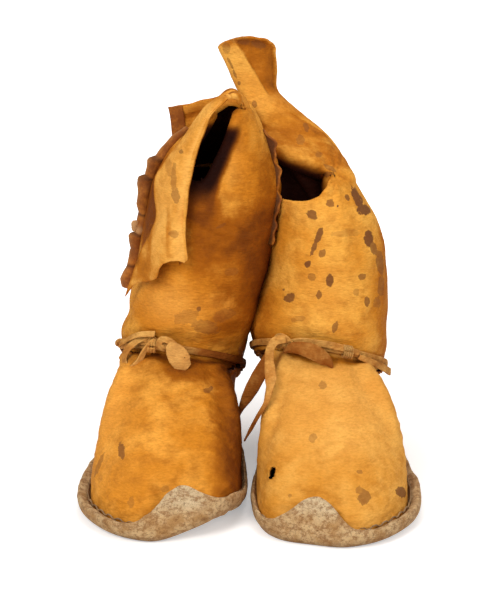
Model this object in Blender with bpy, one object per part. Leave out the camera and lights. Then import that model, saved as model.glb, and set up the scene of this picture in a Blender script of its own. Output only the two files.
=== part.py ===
"""A pair of tall hide boots with dished rawhide soles, standing side by side and leaning together.

The frame is in metres with +Z up and the toes towards -Y. Right and left are the wearer's, so the
right boot stands at -X. All outlines and routes below are in centimetres.
"""

import math

import bmesh
import bpy
from mathutils import Matrix, Vector

CM = 0.01
CENTRE = Vector((-0.025, 0.138, 0.0))  # moves the pair's box onto the origin

# Sole
SOLE_OUTLINE = [
    (3.9, -12.5), (6.3, -12.9), (8.8, -11.7), (10.8, -8.8), (11.3, -5.4), (10.9, -1.0),
    (10.1, 4.0), (9.2, 8.5), (7.5, 11.5), (5.3, 12.2), (3.0, 11.3), (1.7, 8.5),
    (1.2, 4.0), (0.5, -1.0), (0.1, -5.4), (0.4, -9.3), (1.7, -11.5),
]  # left sole's rim from the toe, past the outer side, round the heel and back
SOLE_POINTS = 44
SOLE_THICKNESS = 0.26
RIM_HEIGHT = 1.25
TREAD_INSET = 0.95
TAB_CENTRE_X = 3.8
TAB_REACH_INNER = 2.9
TAB_REACH_OUTER = 3.6
TAB_RISE = 1.75
TAB_CURL = 1.15

# Upper
UPPER_INSET = 0.62
UPPER_INSET_SWING = 0.26  # more on the outer side, less on the inner
TOE_INSET = 0.85
UPPER_THICKNESS = 0.22
UPPER_START = 0.86
UPPER_STATIONS = 9
QUARTER_FROM = -20.0  # angles on the ankle ring between which the quarter wraps the heel
QUARTER_TO = 200.0
STITCHES = 32

# Leg
SQUARENESS = 2.3
LEG_POINTS = 32
LEG_STATIONS = 9
LEG_THICKNESS = 0.24
LEG_GAP = 0.3
WELT_GAP = 0.05
TIED_HEIGHT = 0.9  # the leg runs straight up behind the tie for this far

# Ties
BAND_WIDTH = 0.62
BAND_START = 0.22
BAND_OUT = 0.28
THONG_THICKNESS = 0.14


class Boot:
    """Where one boot of the pair stands, and the ring on which its ankle is tied."""

    def __init__(self, side, place, ankle, radii, height, fall, roll, sections, lift):
        self.side = side
        self.place = place
        self.ankle = ankle
        self.radii = radii
        self.height = height
        self.fall = fall
        self.roll = roll
        self.sections = sections
        self.lift = lift

    def ring(self, angle, out=0.0, up=0.0):
        """The point of the tied ankle ring at this angle, in degrees from +X, moved out and up."""
        x, y = round_section(angle, self.radii[0] + out, self.radii[1] + out)
        z = self.height + self.roll * x - self.fall * y + up
        return Vector((self.ankle[0] + x, self.ankle[1] + y, z))


# Heights of the leg's sections with their left, right, front and back limits
RIGHT_SECTIONS = [
    (10.8, -8.3, 0.4, 1.2, 11.2), (14.0, -7.7, 1.1, 1.0, 10.6), (17.0, -7.2, 1.55, 1.0, 9.8),
    (19.5, -6.7, 1.7, 1.1, 9.2), (21.7, -5.5, 1.4, 1.2, 8.4), (23.5, -3.9, 0.9, 1.3, 7.6),
    (25.0, -2.7, 0.15, 1.4, 7.0), (26.3, -1.8, -0.6, 1.5, 6.6),
]
LEFT_SECTIONS = [
    (10.8, 0.75, 9.75, 0.9, 11.3), (13.0, 1.35, 9.6, 0.9, 11.2), (15.0, 1.75, 9.35, 1.0, 11.1),
    (16.8, 2.25, 8.9, 1.4, 11.0), (18.4, 2.45, 8.3, 1.9, 11.0), (19.8, 2.55, 7.5, 2.5, 11.0),
    (20.9, 2.8, 6.8, 3.2, 11.0),
]

MATERIALS = {
    "rawhide": ((0.58, 0.47, 0.30), 0.75),
    "upper_hide": ((0.60, 0.30, 0.07), 0.7),
    "leg_hide": ((0.62, 0.33, 0.09), 0.7),
    "flap_hide": ((0.66, 0.38, 0.13), 0.7),
    "dark_welt": ((0.23, 0.09, 0.03), 0.75),
    "thong": ((0.55, 0.32, 0.12), 0.7),
    "sinew": ((0.50, 0.38, 0.20), 0.6),
    "sole_thread": ((0.20, 0.12, 0.06), 0.7),
}


# ---- curves and small sums -------------------------------------------------------------------

def ease(low, high, value):
    """0 below low, 1 above high, and a smooth step between."""
    t = min(1.0, max(0.0, (value - low) / (high - low)))
    return t * t * (3 - 2 * t)


def catmull(a, b, c, d, t):
    """The point at t on the smooth curve from b to c."""
    return 0.5 * ((2 * b) + (c - a) * t + (2 * a - 5 * b + 4 * c - d) * t * t
                  + (3 * b - a - 3 * c + d) * t * t * t)


def smooth_path(points, count, closed=False):
    """Count points, evenly spaced, on a smooth curve through the given ones."""
    points = [Vector(p) for p in points]
    n = len(points)
    dense = []
    for i in range(n if closed else n - 1):
        if closed:
            near = [points[(i + k) % n] for k in (-1, 0, 1, 2)]
        else:
            near = [points[min(n - 1, max(0, i + k))] for k in (-1, 0, 1, 2)]
        dense += [catmull(*near, t / 16) for t in range(16)]
    dense.append(points[0] if closed else points[-1])
    lengths = [0.0]
    for a, b in zip(dense, dense[1:]):
        lengths.append(lengths[-1] + (b - a).length)
    spaced = []
    k = 0
    for i in range(count):
        want = lengths[-1] * i / (count if closed else count - 1)
        while k < len(dense) - 2 and lengths[k + 1] < want:
            k += 1
        span = lengths[k + 1] - lengths[k]
        spaced.append(dense[k].lerp(dense[k + 1], (want - lengths[k]) / span if span else 0))
    return spaced


def between(rows, key):
    """The row of a table at this key, by smooth interpolation between its rows."""
    if key <= rows[0][0]:
        return list(rows[0][1:])
    if key >= rows[-1][0]:
        return list(rows[-1][1:])
    k = max(i for i in range(len(rows) - 1) if rows[i][0] <= key)
    t = (key - rows[k][0]) / (rows[k + 1][0] - rows[k][0])
    near = [rows[min(len(rows) - 1, max(0, k + d))] for d in (-1, 0, 1, 2)]
    return [catmull(*(row[c] for row in near), t) for c in range(1, len(rows[0]))]


def round_section(angle, rx, ry):
    """A point of a slightly squared oval at this angle in degrees."""
    c = math.cos(math.radians(angle))
    s = math.sin(math.radians(angle))
    r = (abs(c) ** SQUARENESS + abs(s) ** SQUARENESS) ** (-1 / SQUARENESS)
    return rx * c * r, ry * s * r


# ---- solids ----------------------------------------------------------------------------------

def clear_scene():
    for obj in list(bpy.data.objects):
        bpy.data.objects.remove(obj, do_unlink=True)


def material(name):
    found = bpy.data.materials.get(name)
    if found:
        return found
    colour, roughness = MATERIALS[name]
    made = bpy.data.materials.new(name)
    made.use_nodes = True
    shader = made.node_tree.nodes["Principled BSDF"]
    shader.inputs["Base Color"].default_value = (*colour, 1)
    shader.inputs["Roughness"].default_value = roughness
    shader.inputs["Metallic"].default_value = 0.0
    return made


def joint_axis(name, point, parent=None):
    """An empty on a joint's axis, which the moving pieces hang from."""
    empty = bpy.data.objects.new(name, None)
    bpy.context.scene.collection.objects.link(empty)
    empty["world"] = tuple((Vector(point) - CENTRE) * CM)
    empty.location = Vector(empty["world"])
    if parent:
        empty.parent = parent
        empty.location -= Vector(parent["world"])
    return empty


def make(name, solid, material_name, parent=None):
    """One named object from vertices in centimetres and faces, with its faces turned outwards."""
    vertices, faces = solid
    origin = Vector(parent["world"]) if parent else Vector((0, 0, 0))
    mesh = bpy.data.meshes.new(name)
    mesh.from_pydata([(Vector(v) - CENTRE) * CM - origin for v in vertices], [], faces)
    edit = bmesh.new()
    edit.from_mesh(mesh)
    bmesh.ops.recalc_face_normals(edit, faces=edit.faces)
    edit.to_mesh(mesh)
    edit.free()
    mesh.shade_smooth()
    mesh.set_sharp_from_angle(angle=math.radians(50))
    obj = bpy.data.objects.new(name, mesh)
    bpy.context.scene.collection.objects.link(obj)
    mesh.materials.append(material(material_name))
    obj.parent = parent
    return obj


def wall(grid, thickness, closed=False):
    """A wall of even thickness behind a grid of points, which is its face."""
    n = len(grid)
    m = len(grid[0])
    last = n if closed else n - 1

    def at(i, j):
        i = i % n if closed else min(n - 1, max(0, i))
        return grid[i][min(m - 1, max(0, j))]

    back = []
    for i in range(n):
        for j in range(m):
            across = at(i + 1, j) - at(i - 1, j)
            along = at(i, j + 1) - at(i, j - 1)
            back.append(grid[i][j] - across.cross(along).normalized() * thickness)
    vertices = [p for row in grid for p in row] + back

    def front(i, j):
        return (i % n) * m + j

    def rear(i, j):
        return n * m + (i % n) * m + j

    faces = []
    for i in range(last):
        for j in range(m - 1):
            faces.append((front(i, j), front(i + 1, j), front(i + 1, j + 1), front(i, j + 1)))
            faces.append((rear(i, j), rear(i, j + 1), rear(i + 1, j + 1), rear(i + 1, j)))
        for j in (0, m - 1):
            faces.append((front(i, j), front(i + 1, j), rear(i + 1, j), rear(i, j)))
    if not closed:
        for i in (0, n - 1):
            for j in range(m - 1):
                faces.append((front(i, j), front(i, j + 1), rear(i, j + 1), rear(i, j)))
    return vertices, faces


def tube(path, radius, sides, closed=False):
    """A round tube along a path, with flat ends where it is open."""
    n = len(path)
    vertices = []
    for i, point in enumerate(path):
        ahead = path[(i + 1) % n] if closed else path[min(n - 1, i + 1)]
        behind = path[i - 1] if closed or i else path[0]
        forward = (ahead - behind).normalized()
        side = forward.cross(Vector((0, 0, 1)))
        side = side.normalized() if side.length > 0.05 else Vector((1, 0, 0))
        up = side.cross(forward)
        for k in range(sides):
            turn = 2 * math.pi * k / sides
            vertices.append(point + (side * math.cos(turn) + up * math.sin(turn)) * radius)
    faces = []
    for i in range(n if closed else n - 1):
        for k in range(sides):
            a, b = (i % n) * sides, ((i + 1) % n) * sides
            faces.append((a + k, a + (k + 1) % sides, b + (k + 1) % sides, b + k))
    if not closed:
        faces.append(tuple(range(sides)))
        faces.append(tuple((n - 1) * sides + k for k in range(sides)))
    return vertices, faces


def strap(route, widths, facing, count):
    """A flat thong along a route, its broad side facing one way, as wide as its list of widths."""
    path = smooth_path(route, count)
    grid = []
    for i, point in enumerate(path):
        forward = (path[min(count - 1, i + 1)] - path[max(0, i - 1)]).normalized()
        side = forward.cross(Vector(facing)).normalized()
        place = (len(widths) - 1) * i / (count - 1)
        k = min(len(widths) - 2, int(place))
        half = (widths[k] + (widths[k + 1] - widths[k]) * (place - k)) / 2
        grid.append([point - side * half, point, point + side * half])
    return wall(grid, THONG_THICKNESS)


def knot(centre, radii):
    """A small lump of knotted thong."""
    edit = bmesh.new()
    bmesh.ops.create_icosphere(edit, subdivisions=2, radius=1.0)
    vertices = []
    for v in edit.verts:
        swell = 1 + 0.12 * math.sin(5 * v.co.x) * math.cos(4 * v.co.z)
        vertices.append(Vector(centre) + Vector(v.co[k] * radii[k] * swell for k in range(3)))
    faces = [tuple(v.index for v in f.verts) for f in edit.faces]
    edit.free()
    return vertices, faces


# ---- sole ------------------------------------------------------------------------------------

def sole_outline(boot, inset):
    """The rim's outline in place, drawn in by inset, counter-clockwise from the toe."""
    path = smooth_path([(x, y, 0) for x, y in SOLE_OUTLINE], SOLE_POINTS, closed=True)
    points = []
    for i, p in enumerate(path):
        along = (path[(i + 1) % SOLE_POINTS] - path[i - 1]).normalized()
        inwards = Vector((-along.y, along.x, 0))
        points.append(p + inwards * inset(p))
    if boot.side == "right":
        points = [points[0]] + points[:0:-1]
    return [boot.place @ p for p in points]


def tab(p):
    """How much of the toe tab stands at a rim point: 1 in its middle, 0 past its ends."""
    if p.y > -9:
        return 0.0
    reach = TAB_REACH_INNER if p.x < TAB_CENTRE_X else TAB_REACH_OUTER
    return 1 - ease(0.0, 1.0, abs(p.x - TAB_CENTRE_X) / reach)


def local(boot, p):
    return boot.place.inverted() @ Vector((p.x, p.y, 0))


def sole(boot):
    t = SOLE_THICKNESS

    def ring(inset, height, curl=0.0, rise=0.0):
        flat = sole_outline(boot, lambda p: inset + curl * tab(p))
        amounts = sole_outline(boot, lambda p: 0.0)
        for p, rim in zip(flat, amounts):
            p.z = height + rise * tab(local(boot, rim)) + boot.lift(p)
        return flat

    rings = [
        ring(TREAD_INSET, 0.0),
        ring(0.22, 0.3),
        ring(0.0, 0.78, 0.22 * TAB_CURL, 0.3 * TAB_RISE),
        ring(0.02, RIM_HEIGHT, TAB_CURL, TAB_RISE),
        ring(0.02 + t, RIM_HEIGHT, TAB_CURL, TAB_RISE - 0.1),
        ring(t, 0.78, 0.28 * TAB_CURL, 0.3 * TAB_RISE),
        ring(0.22 + t, 0.3 + 0.7 * t),
        ring(TREAD_INSET + 0.5 * t, t),
    ]
    vertices = [p for points in rings for p in points]
    n = SOLE_POINTS
    faces = []
    for r in range(len(rings) - 1):
        for i in range(n):
            a, b = r * n + i, r * n + (i + 1) % n
            faces.append((a, b, b + n, a + n))
    middle = boot.place @ Vector((5.6, 0.5, 0))
    for ring_start, height in ((0, 0.0), ((len(rings) - 1) * n, t)):
        vertices.append(Vector((middle.x, middle.y, height)))
        for i in range(n):
            faces.append((ring_start + i, ring_start + (i + 1) % n, len(vertices) - 1))
    return vertices, faces


def upper_inset(p):
    """How far the upper's edge stands in from the rim."""
    sideways = (p.x - 5.6) / 5.6
    return UPPER_INSET + UPPER_INSET_SWING * sideways + TOE_INSET * tab(p)


def upper_start(boot):
    """Where the upper meets the sole, with its angle on the ankle ring."""
    found = []
    for p in sole_outline(boot, upper_inset):
        p.z = UPPER_START + boot.lift(p)
        angle = math.degrees(math.atan2((p.y - boot.ankle[1]) / boot.radii[1],
                                        (p.x - boot.ankle[0]) / boot.radii[0]))
        found.append((angle % 360, p))
    return sorted(found, key=lambda pair: pair[0])


def spoke(boot, start, angle):
    """The upper's line from the sole to the ankle ring."""
    end = boot.ring(angle)
    run = (end - start).to_2d().length
    toeward = ease(4.0, 10.5, run)
    flatness = 0.5 * toeward
    fullness = 1.55 - 0.55 * toeward
    line = []
    for j in range(UPPER_STATIONS):
        t = j / (UPPER_STATIONS - 1)
        inwards = (1 - math.cos(t * math.pi / 2)) ** fullness
        climb = (1 - flatness) * math.sin(t * math.pi / 2) + flatness * inwards
        p = start.lerp(end, inwards)
        p.z = start.z + (end.z - start.z) * climb
        line.append(p)
    return line


def start_at(starts, angle):
    """The upper's edge point at any angle, between the two nearest known ones."""
    angle %= 360
    pairs = [(starts[-1][0] - 360, starts[-1][1])] + starts + [(starts[0][0] + 360, starts[0][1])]
    k = max(i for i in range(len(pairs) - 1) if pairs[i][0] <= angle)
    t = (angle - pairs[k][0]) / (pairs[k + 1][0] - pairs[k][0])
    return pairs[k][1].lerp(pairs[k + 1][1], t)


def upper_part(boot, low, high, steps):
    """The stretch of the upper between two angles on the ankle ring."""
    starts = upper_start(boot)
    grid = []
    for i in range(steps + 1):
        angle = low + (high - low) * i / steps
        grid.append(spoke(boot, start_at(starts, angle), angle))
    return wall(grid, UPPER_THICKNESS)


def sole_stitching(boot):
    """One thread that runs in and out along the seam, from one end of the toe tab to the other."""
    seam = []
    inner = sole_outline(boot, lambda p: upper_inset(p) - 0.15)
    for p, rim in zip(inner, sole_outline(boot, lambda p: 0.0)):
        if tab(local(boot, rim)) < 0.03:
            p.z = RIM_HEIGHT + 0.14 + boot.lift(rim)
            seam.append(p)
    path = smooth_path(seam, 2 * STITCHES)
    for i, p in enumerate(path):
        p.z += 0.05 * (-1) ** i
    return tube(path, 0.05, 5)


# ---- leg -------------------------------------------------------------------------------------

def leg_point(boot, angle, height):
    """A point of the leg's outer face: the ankle ring at the bottom, then the sections."""
    low = boot.ring(angle, 0.0, LEG_GAP)
    left, right, front, back = between(boot.sections, height)
    x, y = round_section(angle, (right - left) / 2, (back - front) / 2)
    there = Vector(((left + right) / 2 + x, (front + back) / 2 + y, height))
    t = ease(low.z + TIED_HEIGHT, max(boot.sections[0][0], low.z + 2 * TIED_HEIGHT), height)
    mixed = low.lerp(there, t)
    mixed.z = height
    return mixed


def leg(boot, top):
    """The leg's tube: its lower edge on the tied ankle and its upper edge at top(angle)."""
    grid = []
    for i in range(LEG_POINTS):
        angle = 360 * i / LEG_POINTS
        low = boot.ring(angle, 0.0, LEG_GAP).z
        line = []
        for j in range(LEG_STATIONS):
            rise = (top(angle) - low - TIED_HEIGHT) * (max(0, j - 1) / (LEG_STATIONS - 2)) ** 1.2
            height = low + TIED_HEIGHT * min(1, j) + rise
            line.append(leg_point(boot, angle, height))
        grid.append(line)
    return wall(grid, LEG_THICKNESS, closed=True)


def right_top(angle):
    """The right leg's upper edge: a peak all round, cut by the deep notch at the front left."""
    off = abs((angle - 247 + 180) % 360 - 180)
    return 26.2 - 8.4 * (1 - ease(8, 62, off))


def left_top(angle):
    """The left leg's upper edge: the crumpled lip at the front, level at the back."""
    heights = [(0, 19.3), (45, 19.3), (90, 19.3), (135, 19.0), (180, 18.2), (225, 18.5),
               (270, 19.2), (315, 20.4), (360, 19.3)]
    return between(heights, angle)[0]


def fin(boot, route, reaches, thickness):
    """A thin strip that stands off the leg along a route of (angle, height), by these reaches."""
    grid = []
    for (angle, height), reach in zip(route, reaches):
        root = leg_point(boot, angle, height)
        left, right, front, back = between(boot.sections, height)
        hub = Vector(((left + right) / 2, (front + back) / 2, height))
        outwards = (root - hub).normalized()
        grid.append([root + outwards * (WELT_GAP + reach * k / 2) for k in range(3)])
    return wall(grid, thickness)


def flap():
    """The right leg's front edge, folded outwards from the notch to hang down its front."""
    fold = smooth_path([(-1.6, 0.6, 25.9), (-2.6, 0.5, 24.5), (-3.3, 0.4, 23.0), (-3.8, 0.3, 21.0),
                        (-4.1, 0.3, 18.2), (-4.2, 0.3, 15.1)], 10)
    free = smooth_path([(-3.2, 1.6, 25.1), (-4.6, 2.3, 23.2), (-5.9, 2.5, 21.2), (-6.6, 2.5, 18.9),
                        (-6.9, 2.4, 16.4), (-7.9, 2.6, 13.7), (-8.7, 3.0, 11.6)], 10)
    grid = []
    for a, b in zip(free, fold):
        line = []
        for j in range(6):
            t = j / 5
            p = a.lerp(b, t)
            p.y -= 0.55 * math.sin(math.pi * t) * min(1.0, (b - a).length / 3)
            line.append(p)
        grid.append(line)
    return wall(grid, 0.2)


def rear_cuff():
    """The upstanding rear of the right leg's top, behind the notch's peak."""
    grid = []
    for i in range(7):
        t = i / 6
        x = -5.6 + 4.0 * t
        low = Vector((x, 9.5, 19.6))
        high = Vector((x + 0.15, 9.5, 23.7 + 1.0 * t))
        grid.append([low.lerp(high, j / 5) for j in range(6)])
    return wall(grid, 0.22)


def cuff_band():
    """The dark strip sewn on the rear cuff's free edge."""
    grid = []
    for i in range(3):
        x = -5.75 + 0.5 * i
        grid.append([Vector((x, 9.33, 19.8)).lerp(Vector((x + 0.15, 9.33, 23.75)), j / 5)
                     for j in range(6)])
    return wall(grid, 0.12)


# Rings of the left leg's top from its base to its mouth: left end, right end, front and back depth
NECK_RINGS = [
    ((1.6, 7.0, 22.0), (7.3, 7.3, 19.9), 2.0, 3.2),
    ((0.7, 8.2, 22.9), (5.9, 8.9, 21.4), 2.0, 2.2),
    ((-0.4, 9.2, 24.3), (3.6, 9.7, 23.3), 1.4, 1.4),
    ((-1.1, 9.6, 25.4), (1.9, 10.0, 24.9), 1.05, 1.05),
    ((-1.7, 9.8, 26.7), (1.85, 10.2, 26.3), 0.95, 0.95),
    ((-2.25, 10.0, 27.9), (1.8, 10.3, 27.8), 0.9, 0.9),
]
NECK_POINTS = 24
NECK_BACK_DROP = 1.3
NECK_CROWN = 0.95


def leg_top():
    """The left leg's upper end: pinched to a waist above the deep fold, open at the top."""
    grid = [[] for _ in range(NECK_POINTS)]
    for k, (left, right, front, back) in enumerate(NECK_RINGS):
        left, right = Vector(left), Vector(right)
        for i in range(NECK_POINTS):
            c, s = round_section(360 * i / NECK_POINTS, 1.0, 1.0)
            p = (left + right) / 2 + (right - left) / 2 * c
            p.y += (back if s > 0 else front) * s
            p.z -= NECK_BACK_DROP * max(0.0, s) * (1 - ease(0, 2, k))
            if k == len(NECK_RINGS) - 1:
                p.z += NECK_CROWN * (1 - c * c) ** 0.5
            grid[i].append(p)
    return wall(grid, 0.22, closed=True)


# ---- ties ------------------------------------------------------------------------------------

def tie_band(boot):
    """The thong wound round the ankle."""
    grid = []
    for i in range(LEG_POINTS):
        angle = 360 * i / LEG_POINTS
        levels = (BAND_START, BAND_START + BAND_WIDTH / 2, BAND_START + BAND_WIDTH)
        grid.append([boot.ring(angle, BAND_OUT, up) for up in levels])
    return wall(grid, THONG_THICKNESS, closed=True)


def right_ties(boot):
    front = (0, -1, 0.15)
    make("right_tie_knot", knot(boot.ring(252, 0.78, 0.5), (0.55, 0.42, 0.38)), "thong")
    base = boot.ring(247, 0.75, 0.55)
    loop = [base + Vector(p) for p in ((-0.75, 0.0, 0.12), (-1.9, 0.1, 0.15), (-2.65, 0.3, -0.4),
                                       (-2.85, 0.25, -1.15), (-2.3, -0.1, -1.2), (-1.5, -0.4, -0.6),
                                       (-0.75, -0.3, -0.3))]
    make("right_tie_loop", strap(loop, (0.4, 0.6, 0.7, 0.75, 0.6, 0.4), (-0.3, -0.9, 0.3), 18),
         "thong")
    stub = [boot.ring(259, 1.0, 0.5), boot.ring(263, 1.2, 0.1), boot.ring(266, 1.4, -0.4)]
    make("right_tie_stub", strap(stub, (0.4, 0.95, 0.8), front, 6), "thong")
    tail = [base + Vector(p) for p in ((-0.85, 0.45, 0.5), (-2.0, 0.75, 0.45), (-3.2, 1.2, 0.05),
                                       (-4.1, 1.75, -0.6))]
    make("right_tie_tail", strap(tail, (0.4, 0.35, 0.1), (-0.2, -0.8, 0.5), 8), "thong")


LEFT_BROAD_TAIL = [(1.15, 1.55, 8.1), (0.55, 1.1, 7.2), (0.1, 0.8, 6.1), (-0.15, 0.5, 5.0),
                   (-0.42, 0.2, 3.8)]
LEFT_THIN_TAIL = [(2.35, 0.3, 9.85), (1.6, 0.25, 9.6), (1.15, 0.2, 8.8), (0.95, -0.05, 7.9),
                  (0.75, -0.45, 6.6), (0.4, -0.95, 5.3), (0.0, -1.3, 4.0), (-0.25, -1.5, 2.9)]


def left_ties(boot):
    front = (0, -1, 0.15)
    make("left_tie_knot", knot(boot.ring(243, 0.78, 0.5), (0.5, 0.42, 0.36)), "thong")
    leaf = [boot.ring(252, 0.95, 0.1), boot.ring(260, 1.05, 0.4), boot.ring(268, 1.1, 0.35),
            boot.ring(277, 1.2, -0.2)]
    make("left_tie_leaf", strap(leaf, (0.4, 1.0, 1.05, 0.25), (0.1, -1, 0.2), 9), "thong")
    make("left_tie_broad_tail", strap(LEFT_BROAD_TAIL, (0.5, 0.9, 1.0, 0.8, 0.15),
                                      (-0.45, -0.9, 0), 14), "thong")
    make("left_tie_thin_tail", strap(LEFT_THIN_TAIL, (0.7, 0.8, 0.8, 0.6, 0.4, 0.3, 0.12),
                                     (-0.5, -0.85, 0.1), 18), "thong")
    grid = []
    for i in range(9):
        turn = math.radians(-97 + 194 * i / 8)
        out = BAND_OUT - 0.07 + 0.32 * math.cos(turn)
        up = BAND_START + BAND_WIDTH / 2 + 0.45 * math.sin(turn)
        grid.append([boot.ring(angle, out, up) for angle in (301.0, 296.5)])
    make("left_tie_lashing", wall(grid, 0.07), "sinew")


# ---- the pair --------------------------------------------------------------------------------

def right_lift(p):
    """The right toe's inner front curls up off the ground."""
    return 1.25 * ease(-4.0, -10.5, p.y) * ease(-6.4, -1.0, p.x)


def pair():
    right_place = (Matrix.Translation((-5.3, 0.9, 0)) @ Matrix.Rotation(math.radians(-3.5), 4, "Z")
                   @ Matrix.Diagonal((-1, 1, 1, 1)) @ Matrix.Translation((-5.6, 0, 0)))
    right = Boot("right", right_place, (-4.7, 6.6), (4.1, 4.8), 6.7, 0.42, -0.14,
                 RIGHT_SECTIONS, right_lift)
    left = Boot("left", Matrix.Identity(4), (4.85, 6.0), (4.5, 4.9), 6.7, 0.42, -0.15,
                LEFT_SECTIONS, lambda p: 0.0)
    return right, left


def foot(boot):
    """The fixed pieces of one boot, below its ankle."""
    side = boot.side
    make(f"{side}_sole", sole(boot), "rawhide")
    make(f"{side}_sole_stitching", sole_stitching(boot), "sole_thread")
    make(f"{side}_quarter", upper_part(boot, QUARTER_FROM, QUARTER_TO, 16), "upper_hide")
    gap = 0.6
    make(f"{side}_vamp", upper_part(boot, QUARTER_TO + gap, 360 + QUARTER_FROM - gap, 24),
         "upper_hide")
    make(f"{side}_ankle_tie", tie_band(boot), "thong")


def main():
    clear_scene()
    right, left = pair()
    foot(right)
    foot(left)
    right_ties(right)
    left_ties(left)

    lean = joint_axis("right_leg_axis", right.ring(270, -0.05, LEG_GAP))
    make("right_leg", leg(right, right_top), "leg_hide", lean)
    side_route = [(170 + 6 * t, 12.0 + 11.0 * t) for t in (k / 11 for k in range(12))]
    scallop = [0.95 + 0.12 * math.sin(2.6 * k) for k in range(12)]
    make("right_side_welt", fin(right, side_route, scallop, 0.16), "dark_welt", lean)
    rear_route = [(8 + 10 * t, 16.2 + 6.8 * t) for t in (k / 9 for k in range(10))]
    make("right_rear_welt", fin(right, rear_route, [0.4] * 10, 0.14), "dark_welt", lean)
    make("right_rear_cuff", rear_cuff(), "leg_hide", lean)
    make("right_cuff_band", cuff_band(), "dark_welt", lean)
    fold = joint_axis("right_flap_axis", (-2.6, 0.6, 25.0), lean)
    make("right_front_flap", flap(), "flap_hide", fold)

    lean = joint_axis("left_leg_axis", left.ring(90, -0.05, LEG_GAP))
    make("left_leg", leg(left, left_top), "leg_hide", lean)
    fold = joint_axis("left_top_axis", (7.6, 7.3, 19.6), lean)
    make("left_leg_top", leg_top(), "leg_hide", fold)


main()
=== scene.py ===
"""The looks of a pair of tall hide boots with rawhide soles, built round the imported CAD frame.

Every piece is a fine mesh that repeats the CAD part's own outlines and routes, in centimetres,
and then folds, wrinkles and rolls them. Right and left are the wearer's.
"""

import math

import bmesh
import bpy
import numpy as np
from mathutils import Matrix, Vector

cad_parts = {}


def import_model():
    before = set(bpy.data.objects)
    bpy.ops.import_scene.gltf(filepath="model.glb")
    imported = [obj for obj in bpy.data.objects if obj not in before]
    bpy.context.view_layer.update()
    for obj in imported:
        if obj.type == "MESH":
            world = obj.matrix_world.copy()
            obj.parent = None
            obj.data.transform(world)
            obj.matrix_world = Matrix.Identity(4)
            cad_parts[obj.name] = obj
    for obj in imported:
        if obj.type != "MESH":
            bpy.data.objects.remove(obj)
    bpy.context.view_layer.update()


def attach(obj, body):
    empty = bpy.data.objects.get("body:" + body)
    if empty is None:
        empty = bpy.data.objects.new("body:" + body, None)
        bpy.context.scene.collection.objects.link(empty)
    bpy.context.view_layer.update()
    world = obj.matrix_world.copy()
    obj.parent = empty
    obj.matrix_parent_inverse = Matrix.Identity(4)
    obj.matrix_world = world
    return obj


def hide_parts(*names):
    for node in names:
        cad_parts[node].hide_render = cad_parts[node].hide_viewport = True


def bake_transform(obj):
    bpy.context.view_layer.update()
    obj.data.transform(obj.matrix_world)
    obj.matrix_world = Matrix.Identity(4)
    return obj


CM = 0.01
CENTRE = np.array((-0.025, 0.138, 0.0))  # the frame's origin in this script's centimetres

SOLE_OUTLINE = [
    (3.9, -12.5), (6.3, -12.9), (8.8, -11.7), (10.8, -8.8), (11.3, -5.4), (10.9, -1.0),
    (10.1, 4.0), (9.2, 8.5), (7.5, 11.5), (5.3, 12.2), (3.0, 11.3), (1.7, 8.5),
    (1.2, 4.0), (0.5, -1.0), (0.1, -5.4), (0.4, -9.3), (1.7, -11.5),
]
SOLE_POINTS = 300
TAB_CENTRE_X = 3.8
TAB_REACH_INNER = 2.9
TAB_REACH_OUTER = 3.6
TAB_RISE = 1.75
TAB_CURL = 1.15
UPPER_INSET = 0.62
UPPER_INSET_SWING = 0.26
TOE_INSET = 0.85
UPPER_START = 0.86
QUARTER_FROM = -20.0
QUARTER_TO = 200.0
SQUARENESS = 2.3
LEG_GAP = 0.3
TIED_HEIGHT = 0.9
BAND_MIDDLE = 0.53
BAND_OUT = 0.28
HIDE = 0.2  # how thick the hide is
THREAD_RADIUS = 0.055
SEAM_RISE = 1.19  # the height of the sole's seam

# Each leg's sections, from the ankle up: height, left, right, front and back
RIGHT_SECTIONS = [
    (10.8, -8.3, 0.4, 1.2, 11.2), (14.0, -7.7, 1.1, 1.0, 10.6), (17.0, -7.2, 1.55, 1.0, 9.8),
    (19.5, -6.7, 1.7, 1.1, 9.2), (21.7, -5.5, 1.4, 1.2, 8.4), (23.5, -3.9, 0.9, 1.3, 7.6),
    (25.0, -2.7, 0.15, 1.4, 7.0), (26.3, -1.8, -0.6, 1.5, 6.6),
]
LEFT_SECTIONS = [
    (10.8, 0.75, 9.75, 0.9, 11.3), (13.0, 1.35, 9.6, 0.9, 11.2), (15.0, 1.75, 9.35, 1.0, 11.1),
    (16.8, 2.15, 8.8, 1.4, 11.0), (18.4, 2.2, 7.85, 1.9, 11.0), (19.8, 2.3, 6.95, 2.5, 11.0),
    (20.9, 2.8, 6.8, 3.2, 11.0),
]
# The neck's rings, from the ridge to the mouth: left end, right end, reach to front and back
NECK_RINGS = [
    ((1.1, 6.8, 22.1), (7.0, 7.3, 20.0), 2.0, 3.75),
    ((0.7, 8.2, 22.9), (5.9, 8.9, 21.4), 2.0, 2.2),
    ((-0.4, 9.2, 24.3), (3.6, 9.7, 23.3), 1.4, 1.4),
    ((-1.1, 9.6, 25.4), (1.9, 10.0, 24.9), 1.05, 1.05),
    ((-1.7, 9.8, 26.7), (1.85, 10.2, 26.3), 0.95, 0.95),
    ((-2.25, 10.0, 27.9), (1.8, 10.3, 27.8), 0.9, 0.9),
]
NECK_BACK_DROP = 0.5
NECK_CROWN = 0.95

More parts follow.
